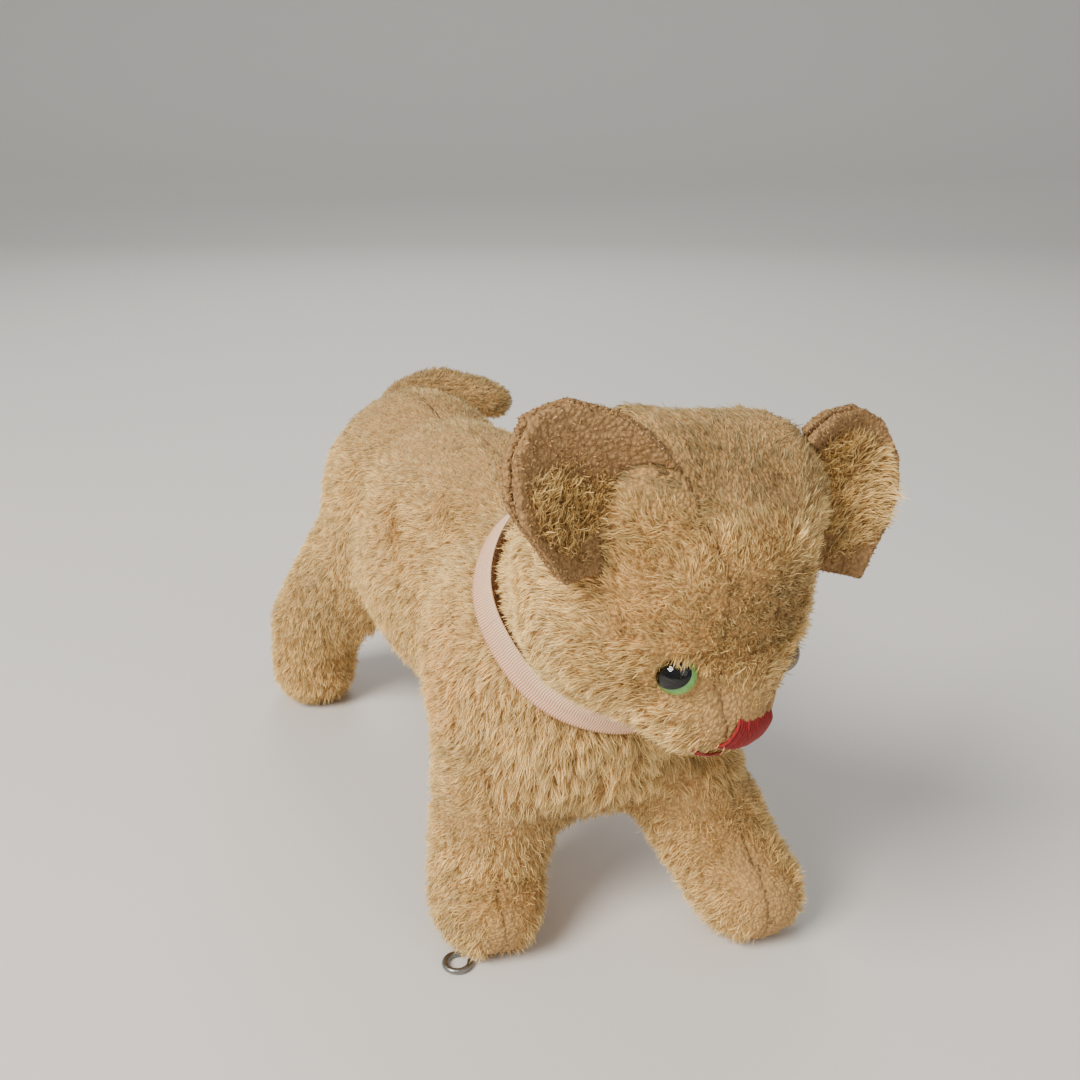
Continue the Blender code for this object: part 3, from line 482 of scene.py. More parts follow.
def melted(name, covers, filling, voxel, rounds, swell=0.0):
    """One smooth closed form from CAD covers and the filling inside them."""
    bm = copy_of(covers, swell)
    if filling:
        packed = copy_of([filling], PACKING_SWELL)
        mesh = bpy.data.meshes.new("packed")
        packed.to_mesh(mesh)
        packed.free()
        bm.from_mesh(mesh)
        bpy.data.meshes.remove(mesh)
    lump = finished(name, bm)
    melt = lump.modifiers.new("melt", "REMESH")
    melt.mode = "VOXEL"
    melt.voxel_size = voxel
    relax = lump.modifiers.new("relax", "SMOOTH")
    relax.factor = 0.5
    relax.iterations = rounds
    return largest_island(applied(lump))


def as_arrays(mesh):
    """Vertices, smooth normals and triangles of a mesh, and the face of each triangle."""
    mesh.calc_loop_triangles()
    count = len(mesh.vertices)
    points = np.empty(count * 3, np.float32)
    mesh.vertices.foreach_get("co", points)
    normals = np.empty(count * 3, np.float32)
    mesh.vertex_normals.foreach_get("vector", normals)
    total = len(mesh.loop_triangles)
    corners = np.empty(total * 3, np.int32)
    mesh.loop_triangles.foreach_get("vertices", corners)
    faces = np.empty(total, np.int32)
    mesh.loop_triangles.foreach_get("polygon_index", faces)
    return (
        points.reshape(-1, 3).astype(float),
        normals.reshape(-1, 3).astype(float),
        corners.reshape(-1, 3),
        faces,
    )


def set_floats(mesh, name, values):
    layer = mesh.attributes.new(name, "FLOAT", "POINT")
    layer.data.foreach_set("value", np.asarray(values, np.float32))


class Hide:
    """A smooth form shared out among the panels that it is sewn from."""

    def __init__(self, mesh, panels):
        self.mesh = mesh
        trees = []
        for name in panels:
            bm = copy_of([name])
            trees.append(BVHTree.FromBMesh(bm))
            bm.free()
        self.owner = np.empty(len(mesh.polygons), np.int32)
        for face in mesh.polygons:
            gaps = [tree.find_nearest(face.center)[3] for tree in trees]
            self.owner[face.index] = int(np.argmin(gaps))
        self.find_seams()
        self.points, self.normals, self.triangles, faces = as_arrays(mesh)
        self.triangle_owner = self.owner[faces]

    def find_seams(self):
        """Draws the cloth in along each seam, and notes how near each point is to one."""
        owners = [set() for _ in self.mesh.vertices]
        for face in self.mesh.polygons:
            for index in face.vertices:
                owners[index].add(int(self.owner[face.index]))
        edge = [index for index, found in enumerate(owners) if len(found) > 1]
        tree = KDTree(len(edge))
        for place, index in enumerate(edge):
            tree.insert(self.mesh.vertices[index].co, place)
        tree.balance()
        if edge:
            gap = np.array([tree.find(vert.co)[2] for vert in self.mesh.vertices])
        else:
            gap = np.full(len(self.mesh.vertices), NO_SEAM_GAP)
        self.seam_gap = gap
        normals = np.empty(len(gap) * 3, np.float32)
        self.mesh.vertex_normals.foreach_get("vector", normals)
        pull = SEAM_DEPTH * np.exp(-((gap / SEAM_REACH) ** 2))
        points = np.empty(len(gap) * 3, np.float32)
        self.mesh.vertices.foreach_get("co", points)
        points = points.reshape(-1, 3) - normals.reshape(-1, 3) * pull[:, None]
        points[:, 2] = np.maximum(points[:, 2], 0.0)
        self.mesh.vertices.foreach_set("co", points.ravel().astype(np.float32))
        self.mesh.update()

    def panel(self, index, name):
        """One panel of cloth, with its thickness turned inwards."""
        bm = bmesh.new()
        bm.from_mesh(self.mesh)
        # how strongly each point takes the painted seam shadow
        near_seam = bm.verts.layers.float.new("seam")
        bm.verts.ensure_lookup_table()
        for vert in bm.verts:
            vert[near_seam] = math.exp(-((self.seam_gap[vert.index] / SEAM_SHADOW) ** 2))
        bm.faces.ensure_lookup_table()
        others = [face for face in bm.faces if self.owner[face.index] != index]
        bmesh.ops.delete(bm, geom=others, context="FACES")
        piece = finished(name, bm)
        wall = piece.modifiers.new("cloth", "SOLIDIFY")
        wall.thickness = CLOTH_THICKNESS
        wall.offset = -1.0
        return piece


# ---- pile -------------------------------------------------------------------------------------

# strands in each square millimetre
BODY_DENSITY = 9.6
BELLY_DENSITY = 0.62 * BODY_DENSITY
TAIL_DENSITY = 10.0
HEAD_DENSITY = 11.0
EAR_DENSITY = 10.5
# the share of strands left long, and how much longer they are
LONG_SHARE = 0.02
LONG_STRETCH = 1.6
# millimetres: how deep a strand is rooted, and the least height of any point of it
ROOT_DEPTH = 0.25
FLOOR_CLEAR = 0.15
DRIFT_WAVES = 7
CELL_KEYS = (73856093, 19349663, 83492791)


def unit(vectors):
    return vectors / np.maximum(np.linalg.norm(vectors, axis=-1, keepdims=True), 1e-9)


def drift(points, size, seed):
    """Soft random vectors that change over a distance of size, in millimetres."""
    rng = np.random.default_rng(seed)
    total = np.zeros((len(points), 3))
    for _ in range(DRIFT_WAVES):
        wave = rng.normal(size=3) * (1.6 / size)
        phase = rng.uniform(0.0, ONCE_ROUND, 3)
        total += np.sin((points @ wave)[:, None] + phase) * rng.uniform(0.5, 1.0)
    return total / 2.6


def patch(points, at, reach, soft=0.6):
    """1 inside an oval region, falling softly to 0 at its edge; millimetres."""
    away = np.linalg.norm((points - np.array(at)) / np.array(reach), axis=1)
    share = np.clip((1.0 - away) / soft, 0.0, 1.0)
    return share * share * (3.0 - 2.0 * share)


def rise(values, low, high):
    share = np.clip((values - low) / (high - low), 0.0, 1.0)
    return share * share * (3.0 - 2.0 * share)


def blend_in(base, mask, value):
    return base * (1.0 - mask) + value * mask


def pelt(name, body, slot, surface, hide, owners, density, coat, seed, joints=2, region=None):
    """Mohair strands over panels of a hide.

    coat(points, normals, seam gaps) gives each strand's length and width, the share kept,
    lean, comb direction, curl, the size of a lock and the pull towards it, grime with painted shade, and amber.
    Lengths are in millimetres.
    """
    rng = np.random.default_rng(seed)
    chosen = np.isin(hide.triangle_owner, owners)
    triangles = hide.triangles[chosen]
    corners = hide.points[triangles] / MM
    if region is not None:
        keep = region(corners.mean(axis=1))
        triangles = triangles[keep]
        corners = corners[keep]
    cross = np.cross(corners[:, 1] - corners[:, 0], corners[:, 2] - corners[:, 0])
    area = 0.5 * np.linalg.norm(cross, axis=1)
    count = int(area.sum() * density)
    picked = rng.choice(len(triangles), count, p=area / area.sum())
    mix = rng.uniform(size=(count, 2))
    over = mix.sum(axis=1) > 1.0
    mix[over] = 1.0 - mix[over]
    weight = np.stack([1.0 - mix.sum(axis=1), mix[:, 0], mix[:, 1]], axis=1)[:, :, None]
    roots = (corners[picked] * weight).sum(axis=1)
    normals = unit((hide.normals[triangles[picked]] * weight).sum(axis=1))
    gaps = (hide.seam_gap[triangles[picked]] / MM * weight[:, :, 0]).sum(axis=1)
    look = coat(roots, normals, gaps)
    keep = rng.uniform(size=count) < look["cover"]
    roots, normals = roots[keep], normals[keep]
    look = {key: value[keep] for key, value in look.items()}
    count = len(roots)

    length = look["length"] * rng.uniform(0.55, 1.2, count)
    length = length * np.where(rng.uniform(size=count) < LONG_SHARE, LONG_STRETCH, 1.0)
    comb = look["comb"] + 0.65 * drift(roots, 7.0, seed + 1)
    comb = unit(comb - (comb * normals).sum(axis=1, keepdims=True) * normals)
    warped = (roots + 0.5 * drift(roots, 2.5, seed + 2)) / look["cell"][:, None]
    keys = np.floor(warped).astype(np.int64) * np.array(CELL_KEYS, np.int64)
    _, lock = np.unique(keys[:, 0] ^ keys[:, 1] ^ keys[:, 2], return_inverse=True)
    locks = lock.max() + 1
    sizes = np.bincount(lock, minlength=locks)[:, None]
    lock_turn = rng.normal(size=(locks, 3))[lock]
    lock_tone = rng.normal(size=locks)[lock]
    lean = look["lean"][:, None]
    jitter = rng.normal(size=(count, 3))
    loose = look["curl"][:, None]
    heading = unit(normals * (1.0 - lean) + comb * lean + 0.16 * lock_turn + 0.22 * jitter * loose)
    steps = [roots - ROOT_DEPTH * normals]
    for step in range(joints):
        steps.append(steps[-1] + heading * (length / joints)[:, None])
        bend = comb * 0.55 * lean + 0.35 * loose * rng.normal(size=(count, 3))
        bend[:, 2] -= 0.12
        heading = unit(heading + bend)
        inward = (heading * normals).sum(axis=1, keepdims=True)
        heading = unit(heading - np.minimum(inward - 0.06, 0.0) * normals)
    for step in range(1, joints + 1):
        pull = look["pull"][:, None] * (step / joints) * rng.uniform(0.6, 1.2, (count, 1))
        middle = np.stack(
            [np.bincount(lock, steps[step][:, axis], locks) for axis in range(3)], axis=1
        )
        middle = (middle / sizes)[lock]
        steps[step] = steps[step] + (middle - steps[step]) * np.clip(pull, 0.0, 0.9)
    for step in steps:
        step[:, 2] = np.maximum(step[:, 2], FLOOR_CLEAR)

    width = look["width"] * rng.uniform(0.7, 1.3, count)
    facing = normals + 0.6 * rng.normal(size=(count, 3))
    sideways = unit(np.cross(steps[-1] - steps[0], facing))
    rows = []
    for step in range(joints):
        half = sideways * (0.5 * width * (1.0 - 0.45 * step / joints))[:, None]
        rows.extend((steps[step] - half, steps[step] + half))
    rows.append(steps[joints])
    points = np.stack(rows, axis=1) * MM
    per = 2 * joints + 1
    along = np.repeat(np.arange(joints) / joints, 2).tolist() + [1.0]
    shade = 0.6 * rng.normal(size=count) + 0.5 * lock_tone

    strip = []
    for step in range(joints - 1):
        strip.extend((2 * step, 2 * step + 1, 2 * step + 3, 2 * step + 2))
    strip.extend((per - 3, per - 2, per - 1))
    mesh = bpy.data.meshes.new(name)
    mesh.vertices.add(count * per)
    mesh.vertices.foreach_set("co", points.astype(np.float32).ravel())
    loops = np.arange(count)[:, None] * per + np.array(strip)[None, :]
    mesh.loops.add(loops.size)
    mesh.loops.foreach_set("vertex_index", loops.astype(np.int32).ravel())
    mesh.polygons.add(count * joints)
    starts = np.arange(count)[:, None] * len(strip) + 4 * np.arange(joints)[None, :]
    mesh.polygons.foreach_set("loop_start", starts.astype(np.int32).ravel())
    mesh.update(calc_edges=True)
    set_floats(mesh, "along", np.tile(along, count))
    set_floats(mesh, "shade", np.repeat(np.clip(shade, -1.8, 1.8), per))
    set_floats(mesh, "grime", np.repeat(look["grime"], per))
    set_floats(mesh, "amber", np.repeat(look["amber"], per))
    lay_out(mesh, count, joints, strip)
    piece = linked(name, mesh)
    return dress(piece, body, slot, surface)


def lay_out(mesh, count, joints, strip):
    """A map with a small cell of its own for each strand."""
    grid = math.ceil(math.sqrt(count))
    corner = []
    for index in strip:
        if index == 2 * joints:
            corner.append((0.5, 0.95))
        else:
            corner.append((0.15 + 0.7 * (index % 2), 0.05 + 0.9 * (index // 2) / joints))
    which = np.arange(count)
    base = np.stack([which % grid, which // grid], axis=1)[:, None, :]
    spots = (base + np.array(corner)[None, :, :]) / grid
    layer = mesh.uv_layers.new(name="OFBake")
    layer.data.foreach_set("uv", spots.astype(np.float32).ravel())


# ---- how the coat lies --------------------------------------------------------------------------

NECK_MM = np.array(NECK_AT) / MM
AXIS = np.array(NECK_AXIS)
HEAD_TURN = np.array(HEAD_FRAME.to_3x3())
HEAD_MM = np.array(HEAD_FRAME.translation) / MM


def plain_coat(points, length, lean, comb, cell=1.5):
    count = len(points)
    full = np.ones(count)
    return {
        "length": full * length,
        "cover": full.copy(),
        "lean": full * lean,
        "comb": comb,
        "curl": full * 1.0,
        "pull": full * 0.55,
        "grime": full * 0.0,
        "amber": full * 0.0,
        "width": full * 0.15,
        "cell": full * cell,
    }


def ease(look, mask, **values):
    """Blends values into a coat, fully where the mask is 1."""
    for key, value in values.items():
        look[key] = blend_in(look[key], mask, value)


def turned_to(look, mask, comb):
    """Combs a coat another way where the mask is 1."""
    share = mask[:, None]
    look["comb"] = look["comb"] * (1.0 - share) + share * comb


def from_neck(points):
    """How far points are along the neck's axis, and how far out from it."""
    height = (points - NECK_MM) @ AXIS
    reach = np.linalg.norm(points - NECK_MM - np.outer(height, AXIS), axis=1)
    return height, reach


def body_coat(points, normals, gaps):
    """Longest on the chest, short on the legs, bald on the front seams of the paws."""
    x, y, z = points.T
    up = np.clip(normals[:, 2], 0.0, 1.0)
    comb = np.stack([0.15 * np.sign(x), 0.45 + 0.9 * up, -1.0 + 0.8 * up], axis=1)
    look = plain_coat(points, 3.0, 0.58, comb)
    look["curl"][:] = 1.3
    chest = patch(points, (-2.0, -50.0, 40.0), (34.0, 24.0, 20.0), 0.45)
    ease(look, chest, length=4.8, cell=2.3, pull=0.8)
    turned_to(look, chest, np.array([0.1, -0.2, -1.0]))
    legs = 1.0 - rise(z, 25.0, 31.0)
    ease(look, legs, length=3.0, lean=0.46, curl=1.6)
    # the crease between the chest tuft and the legs: shorter pile here, and its colour darkened further down as
    # painted shade
    crease = np.exp(-(((z - 28.5) / 2.5) ** 2)) * (y < -25.0)
    look["length"] *= 1.0 - 0.55 * crease
    back = rise(z, 72.0, 82.0) * rise(up, 0.2, 0.8)
    ease(look, back, length=2.1, lean=0.78)
    for at, reach in (
        ((-25.5, -49.0, 6.0), (5.5, 9.0, 10.0)),
        ((22.0, -66.0, 8.0), (6.5, 10.0, 11.0)),
        ((19.0, -60.0, 17.0), (4.0, 7.0, 7.0)),
    ):
        bald = patch(points, at, reach, 0.5)
        ease(look, bald, length=0.55, cover=0.28, curl=1.6)
    height, reach = from_neck(points)
    under_ribbon = rise(height, -7.2, -5.8) * (reach < 26.0)
    ease(look, under_ribbon, length=0.7, lean=0.9)
    look["cover"] *= 1.0 - (height > -1.2) * (reach < 20.5)
    sole = (z < 1.2) * (normals[:, 2] < -0.6)
    look["cover"] *= 1.0 - 0.9 * sole
    below = rise(-normals[:, 2], 0.5, 0.9)
    look["cover"] *= 1.0 - 0.35 * below
    # darker patches on the back, the rump, low between the front legs and on the hip; in the crease the darkening
    # is painted shade
    look["grime"] = 0.55 * back + 0.35 * patch(points, (0.0, 62.0, 70.0), (26.0, 24.0, 16.0))
    look["grime"] += 0.35 * patch(points, (-12.0, -42.0, 20.0), (12.0, 16.0, 22.0))
    look["grime"] += 0.45 * crease + 0.30 * patch(points, (-26.0, 52.0, 36.0), (14.0, 14.0, 14.0))
    look["amber"] = np.maximum(
        0.50 * patch(points, (-28.0, -25.0, 52.0), (12.0, 14.0, 18.0), 0.9),
        0.22 * patch(points, (-25.0, 10.0, 66.0), (12.0, 20.0, 14.0), 0.9),
    )
    look["grime"] = np.clip(look["grime"], 0.0, 1.0)
    return look


def tail_coat(points, normals, gaps):
    """Stubby and grey, combed to the tip."""
    comb = np.tile([1.0, 0.1, 0.0], (len(points), 1))
    look = plain_coat(points, 1.9, 0.55, comb, 1.2)
    look["grime"][:] = 0.75
    return look


EYES = {"left": np.array([11.2, -19.6, -2.2]), "right": np.array([-12.6, -19.6, -2.0])}


def head_coat(points, normals, gaps):
    """Silky on the cheeks, curly on the brow, flat and dusty on the crown, bald by the nose."""
    local = (points - HEAD_MM) @ HEAD_TURN
    x, y, z = local.T
    nose = np.array([0.0, -27.0, -8.0])
    comb = (unit(local - nose) + np.array([0.0, 0.0, -0.35])) @ HEAD_TURN.T
    look = plain_coat(points, 2.8, 0.62, comb, 1.4)
    brow = patch(local, (-1.0, -17.0, 8.0), (15.0, 15.0, 11.0))
    ease(look, brow, length=2.5, lean=0.42, curl=2.4)
    cheek = patch(local, (-18.0, -8.0, -5.0), (13.0, 16.0, 13.0))
    cheek = np.maximum(cheek, patch(local, (18.0, -8.0, -5.0), (13.0, 16.0, 13.0)))
    ease(look, cheek, length=3.2, lean=0.72)
    crown = rise(z, 17.0, 23.0)
    ease(look, crown, length=2.3, lean=0.86)
    look["grime"] = np.clip(0.85 * crown + 0.75 * brow, 0.0, 1.0)
    seam = np.exp(-((gaps / 0.7) ** 2)) * (z < 12.0)
    look["length"] *= 1.0 - 0.35 * seam
    muzzle = patch(local, (0.0, -25.0, -7.0), (13.0, 9.0, 8.0))
    ease(look, muzzle, length=1.4)
    bald = patch(local, (-6.5, -24.0, -7.0), (4.5, 6.0, 5.0), 0.6)
    bald = np.maximum(bald, patch(local, (6.5, -23.5, -8.0), (4.5, 6.0, 5.0), 0.6))
    ease(look, bald, length=0.6, cover=0.45)
    for side, eye in EYES.items():
        to_eye = eye - local
        away = np.linalg.norm(to_eye * np.array([1.0, 0.6, 1.0]), axis=1)
        look["cover"] *= rise(away, 2.4, 2.9)
        close = 1.0 - rise(away, 3.0, 6.0)
        above = rise(z - eye[2] - 0.25 * np.abs(x - eye[0]), 0.3, 2.0)
        if side == "left":
            above = np.maximum(above, rise(eye[0] - x, 0.0, 1.5))
        ease(look, close * (1.0 - above), length=1.0)
        ease(look, close * above, length=3.0, lean=0.35)
        turned_to(look, 0.8 * close * above, unit(to_eye @ HEAD_TURN.T))
    lean_left = x + 0.35 * (NOSE_TOP / MM - z)
    pad = (lean_left > -3.6) * (lean_left < 6.4) * (y < -16.0)
    pad = pad * (z < NOSE_TOP / MM + 0.2) * (z > NOSE_BOTTOM / MM + 0.3)
    look["cover"] *= 1.0 - pad
    tuft = np.exp(-(((z + 15.6) / 1.6) ** 2)) * (np.abs(x) < 8.0) * (y < -14.0)
    ease(look, tuft, length=2.4)
    height, reach = from_neck(points)
    look["cover"] *= 1.0 - (height < 1.2) * (reach < 20.0)
    close = 1.0 - rise(height, 1.0, 5.0)
    ease(look, close, lean=0.15, length=2.5)
    look["amber"] = 0.35 * patch(local, (-20.0, -10.0, 6.0), (6.0, 12.0, 8.0))
    return look


RIM_SECTORS = 48


def rim_finder(points):
    """How far a point of an ear is from its rim, seen square on; millimetres."""
    middle = points.mean(axis=0)
    _, axes = np.linalg.eigh(np.cov((points - middle).T))
    height = ((points - HEAD_MM) @ HEAD_TURN)[:, 2]
    foot = points[height < np.quantile(height, 0.2)].mean(axis=0)

    def polar(spots):
        flat = (spots - foot) @ axes[:, 1:]
        return np.arctan2(flat[:, 1], flat[:, 0]), np.linalg.norm(flat, axis=1)

    angle, reach = polar(points)
    bins = np.linspace(-math.pi, math.pi, RIM_SECTORS + 1)
    which = np.clip(np.digitize(angle, bins) - 1, 0, RIM_SECTORS - 1)
    edge = np.zeros(RIM_SECTORS)
    np.maximum.at(edge, which, reach)
    centres = 0.5 * (bins[1:] + bins[:-1])

    def rim_gap(spots):
        angle, reach = polar(spots)
        return np.interp(angle, centres, edge, period=2.0 * math.pi) - reach

    return rim_gap


def ear_coat(rim_gap, bald_from):
    """Worn brown loops, with pale silky fur left inside below bald_from and at the foot."""

    def coat(points, normals, gaps):
        height = ((points - HEAD_MM) @ HEAD_TURN)[:, 2]
        comb = np.tile(HEAD_TURN @ np.array([0.0, -0.3, 1.0]), (len(points), 1))
        look = plain_coat(points, 0.95, 0.35, comb, 0.8)
        height = height + 2.0 * drift(points, 6.0, 77)[:, 0]
        furry = rise(rim_gap(points), 2.5, 5.5) * (1.0 - rise(height, bald_from - 4.0, bald_from))
        look["curl"][:] = 3.0
        look["width"][:] = 0.22
        ease(look, furry, length=3.6, curl=1.2, lean=0.5, width=0.15)
        look["amber"] = 1.0 - furry
        look["grime"] = 0.30 * (1.0 - furry)
        return look

    return coat


# ---- the kitten's pieces ----------------------------------------------------------------------

BODY_PANELS = ["belly_gusset", "body_side_left", "body_side_right"]
HEAD_PANELS = ["head_centre_gusset", "head_side_left", "head_side_right"]


def make_filling(node, body, voxel):
    """Wood wool packed hard: a lumpy closed form inside the cover."""
    name = node.replace("stuffing", "filling")
    piece = linked(name, melted(name, [node], None, voxel, 6))
    dress(piece, body, "wood_wool", WOOD_WOOL, node)
    return piece


def make_body():
    form = melted("body_form", BODY_PANELS, "body_stuffing", 1.0 * MM, 8)
    hide = Hide(form, BODY_PANELS)
    for index, node in enumerate(BODY_PANELS):
        panel = hide.panel(index, node + "_cloth")
        dress(panel, "body", "mohair", BACKING_CLOTH, node)
    make_filling("body_stuffing", "body", 2.0 * MM)

    def between(low, high):
        return lambda centres: (centres[:, 1] >= low) & (centres[:, 1] < high)

    shares = [
        (f"pile_{place}_{side}", index, low, high, BODY_DENSITY, 1000 + 10 * index + low)
        for side, index in (("left", 1), ("right", 2))
        for place, low, high in (("chest", -200, -30), ("flank", -30, 20), ("rump", 20, 200))
    ]
    shares += [
        (f"pile_belly_{place}", 0, low, high, BELLY_DENSITY, 1500 + low)
        for place, low, high in (("front", -200, 20), ("hind", 20, 200))
    ]
    for name, index, low, high, density, seed in shares:
        region = between(low, high)
        pelt(name, "body", "mohair", PILE, hide, [index], density, body_coat, seed, region=region)


def make_tail():
    form = melted("tail_form", ["tail_cover"], "tail_stuffing", 0.7 * MM, 5)
    hide = Hide(form, ["tail_cover"])
    panel = hide.panel(0, "tail_cloth")
    dress(panel, "body", "mohair", BACKING_CLOTH, "tail_cover")
    make_filling("tail_stuffing", "body", 0.8 * MM)
    pelt("pile_tail", "body", "mohair", PILE, hide, [0], TAIL_DENSITY, tail_coat, 301)


def make_head():
    form = melted("head_form", HEAD_PANELS, "head_stuffing", 0.9 * MM, 7)
    bm = bmesh.new()
    bm.from_mesh(form)
    face = BVHTree.FromBMesh(bm)
    bm.free()
    hide = Hide(form, HEAD_PANELS)
    for index, node in enumerate(HEAD_PANELS):
        panel = hide.panel(index, node + "_cloth")
        dress(panel, "head", "mohair", BACKING_CLOTH, node)
    make_filling("head_stuffing", "head", 1.6 * MM)
    for index, name in enumerate(("centre", "left", "right")):
        name = "pile_head_" + name
        pelt(name, "head", "mohair", PILE, hide, [index], HEAD_DENSITY, head_coat, 401 + index, 3)
    return face


# across and up each ear in the head's own axes, and the middle of its foot
EAR_ACROSS = {"left": Vector((0.90, -0.25, -0.30)), "right": Vector((-0.92, 0.05, -0.40))}
EAR_RISE = {"left": Vector((0.50, 0.25, 0.86)), "right": Vector((-0.40, 0.36, 0.85))}
EAR_FOOT = {
    "left": Vector((0.0197, -0.0040, 0.0124)),
    "right": Vector((-0.0197, -0.0040, 0.0124)),
}
EAR_SWELL = 0.35 * MM
# the height in the head at which an ear turns bald; millimetres
BALD_FROM = {
    "lining": {"left": 30.0, "right": 23.0},
    "back": {"left": 16.0, "right": 16.0},
}

# cuts across an ear: how far across and up it from its foot, and which way each faces
EAR_CUTS = {
    "left": ((0.0128, -0.0010, 0.93, -0.37), (0.0080, -0.0055, 0.25, -0.97)),
    "right": ((0.0126, 0.0012, 0.93, -0.37), (0.0080, -0.0022, 0.25, -0.97)),
}


def cut_off(bm, place, facing, weld=1e-7):
    """Drops what is in front of a plane and closes the cut."""
    everything = bm.verts[:] + bm.edges[:] + bm.faces[:]
    bmesh.ops.bisect_plane(
        bm, geom=everything, dist=weld, plane_co=place, plane_no=facing, clear_outer=True
    )
    bmesh.ops.holes_fill(bm, edges=[edge for edge in bm.edges if edge.is_boundary], sides=0)


def sewn_down(mesh, side):
    """Takes off the lowest outer corner of an ear, which is tucked under the cheek's pile."""
    across = EAR_ACROSS[side].normalized()
    upward = (EAR_RISE[side] - EAR_RISE[side].dot(across) * across).normalized()
    bm = bmesh.new()
    bm.from_mesh(mesh)
    for out, up, face_out, face_up in EAR_CUTS[side]:
        place = in_head(*(EAR_FOOT[side] + out * across + up * upward))
        facing = HEAD_FRAME.to_3x3() @ (face_out * across + face_up * upward)
        cut_off(bm, place, facing)
    bmesh.ops.triangulate(bm, faces=[face for face in bm.faces if len(face.verts) > 4])
    bm.to_mesh(mesh)
    bm.free()
    return mesh


def make_ears():
    for side in ("left", "right"):
        for layer, seed in (("lining", 501), ("back", 521)):
            node = f"ear_{layer}_{side}"
            form = melted(node + "_form", [node], None, 0.45 * MM, 4, EAR_SWELL)
            hide = Hide(sewn_down(form, side), [node])
            coat = ear_coat(rim_finder(hide.points / MM), BALD_FROM[layer][side])
            panel = hide.panel(0, node + "_cloth")
            panel.modifiers.clear()
            dress(panel, "head", "ear_cloth", EAR_CLOTH, node)
            seed += len(side)
            name = "pile_" + node
            pelt(name, "head", "ear_cloth", EAR_PILE, hide, [0], EAR_DENSITY, coat, seed, 3)


# the eye: radii, and how far the dome's flat back is ahead of the middle of the CAD's disc
DOME_RADIUS = 0.0031
IRIS_RADIUS = 0.0029
PUPIL_RADIUS = 0.0021
EYE_AHEAD = 0.00125
# how far the pupil is moved aside on the disc, as the eye looks
PUPIL_ASIDE = 0.00050


def eye_frame(side):
    """The centre of the eye's flat back, with Z the way it looks."""
    mesh = NODES["eye_iris_" + side].data
    points = np.array([vert.co for vert in mesh.vertices])
    centre = points.mean(axis=0)
    _, axes = np.linalg.eigh(np.cov((points - centre).T))
    look = axes[:, 0]
    if look[1] > 0.0:
        look = -look
    look = Vector(look)
    at = Vector(centre) + look * EYE_AHEAD
    return Matrix.Translation(at) @ look.to_track_quat("Z", "Y").to_matrix().to_4x4()


def make_eyes():
    for side in ("left", "right"):
        place = eye_frame(side)
        bm = bmesh.new()
        bmesh.ops.create_uvsphere(bm, u_segments=56, v_segments=36, radius=DOME_RADIUS)
        cut_off(bm, (0, 0, 0), (0, 0, -1))
        bmesh.ops.recalc_face_normals(bm, faces=bm.faces)
        bmesh.ops.transform(bm, matrix=place, verts=bm.verts)
        glass = finished("glass_dome_" + side, bm)
        dress(glass, "head", "eye_glass", GLASS, "eye_glass_" + side)

        for name, radius, base, height, aside, surface, slot in (
            ("iris", IRIS_RADIUS, 0.00004, 0.00028, 0.0, IRIS, "eye_green"),
            ("pupil", PUPIL_RADIUS, 0.00022, 0.00050, PUPIL_ASIDE, PUPIL, "eye_black"),
        ):
            bm = bmesh.new()
            bmesh.ops.create_uvsphere(bm, u_segments=48, v_segments=16, radius=1.0)
            squash = Matrix.Diagonal((radius, radius, height, 1.0))
            bmesh.ops.transform(bm, matrix=squash, verts=bm.verts)
            cut_off(bm, (0, 0, 0), (0, 0, -1), 1e-8)
            bmesh.ops.recalc_face_normals(bm, faces=bm.faces)
            lift = Matrix.Translation((-0.9 * aside, aside, base))
            bmesh.ops.transform(bm, matrix=place @ lift, verts=bm.verts)
            disc = finished(f"glass_{name}_{side}", bm)
            dress(disc, "head", slot, surface, f"eye_{name}_{side}")


FINE_WELD = 0.000001
NOSE_THREAD = 0.00026
MOUTH_THREAD = 0.00024
NOSE_STITCHES = 19
OVER_STITCHES = 9
MOUTH_STEPS = 8


def thread_mesh(name, routes, radius):
    """Threads along routes as one mesh; run is a point's height in the head and turn its x."""
    curve = bpy.data.curves.new(name, "CURVE")
    curve.dimensions = "3D"
    curve.bevel_depth = radius
    curve.bevel_resolution = 2
    curve.use_fill_caps = True
    for route in routes:
        spline = curve.splines.new("NURBS")
        spline.points.add(len(route) - 1)
        for spot, point in zip(spline.points, route):
            spot.co = (*point, 1.0)
        spline.use_endpoint_u = True
        spline.order_u = 3
        spline.resolution_u = 4
    thing = bpy.data.objects.new(name, curve)
    SCENE.collection.objects.link(thing)
    bpy.context.view_layer.update()
    graph = bpy.context.evaluated_depsgraph_get()
    mesh = bpy.data.meshes.new_from_object(thing.evaluated_get(graph))
    bpy.data.objects.remove(thing, do_unlink=True)
    bm = bmesh.new()
    bm.from_mesh(mesh)
    bmesh.ops.remove_doubles(bm, verts=bm.verts, dist=FINE_WELD)
    bmesh.ops.recalc_face_normals(bm, faces=bm.faces)
    bm.to_mesh(mesh)
    bm.free()
    points = np.array([vert.co for vert in mesh.vertices])
    upward = np.array(HEAD_FRAME.to_3x3() @ Vector((0.0, 0.0, 1.0)))
    set_floats(mesh, "run", points @ upward * 1000.0)
    set_floats(mesh, "turn", points[:, 0] * 1000.0)
    return linked(name, mesh)


def on_face(face, x, z, stand):
    """A point of the face straight ahead of the head's centre, a little proud of it."""
    aim = HEAD_FRAME.to_3x3() @ Vector((0.0, 1.0, 0.0))
    hit, normal, _, _ = face.ray_cast(in_head(x, -0.10, z), aim)
    return hit + stand * normal


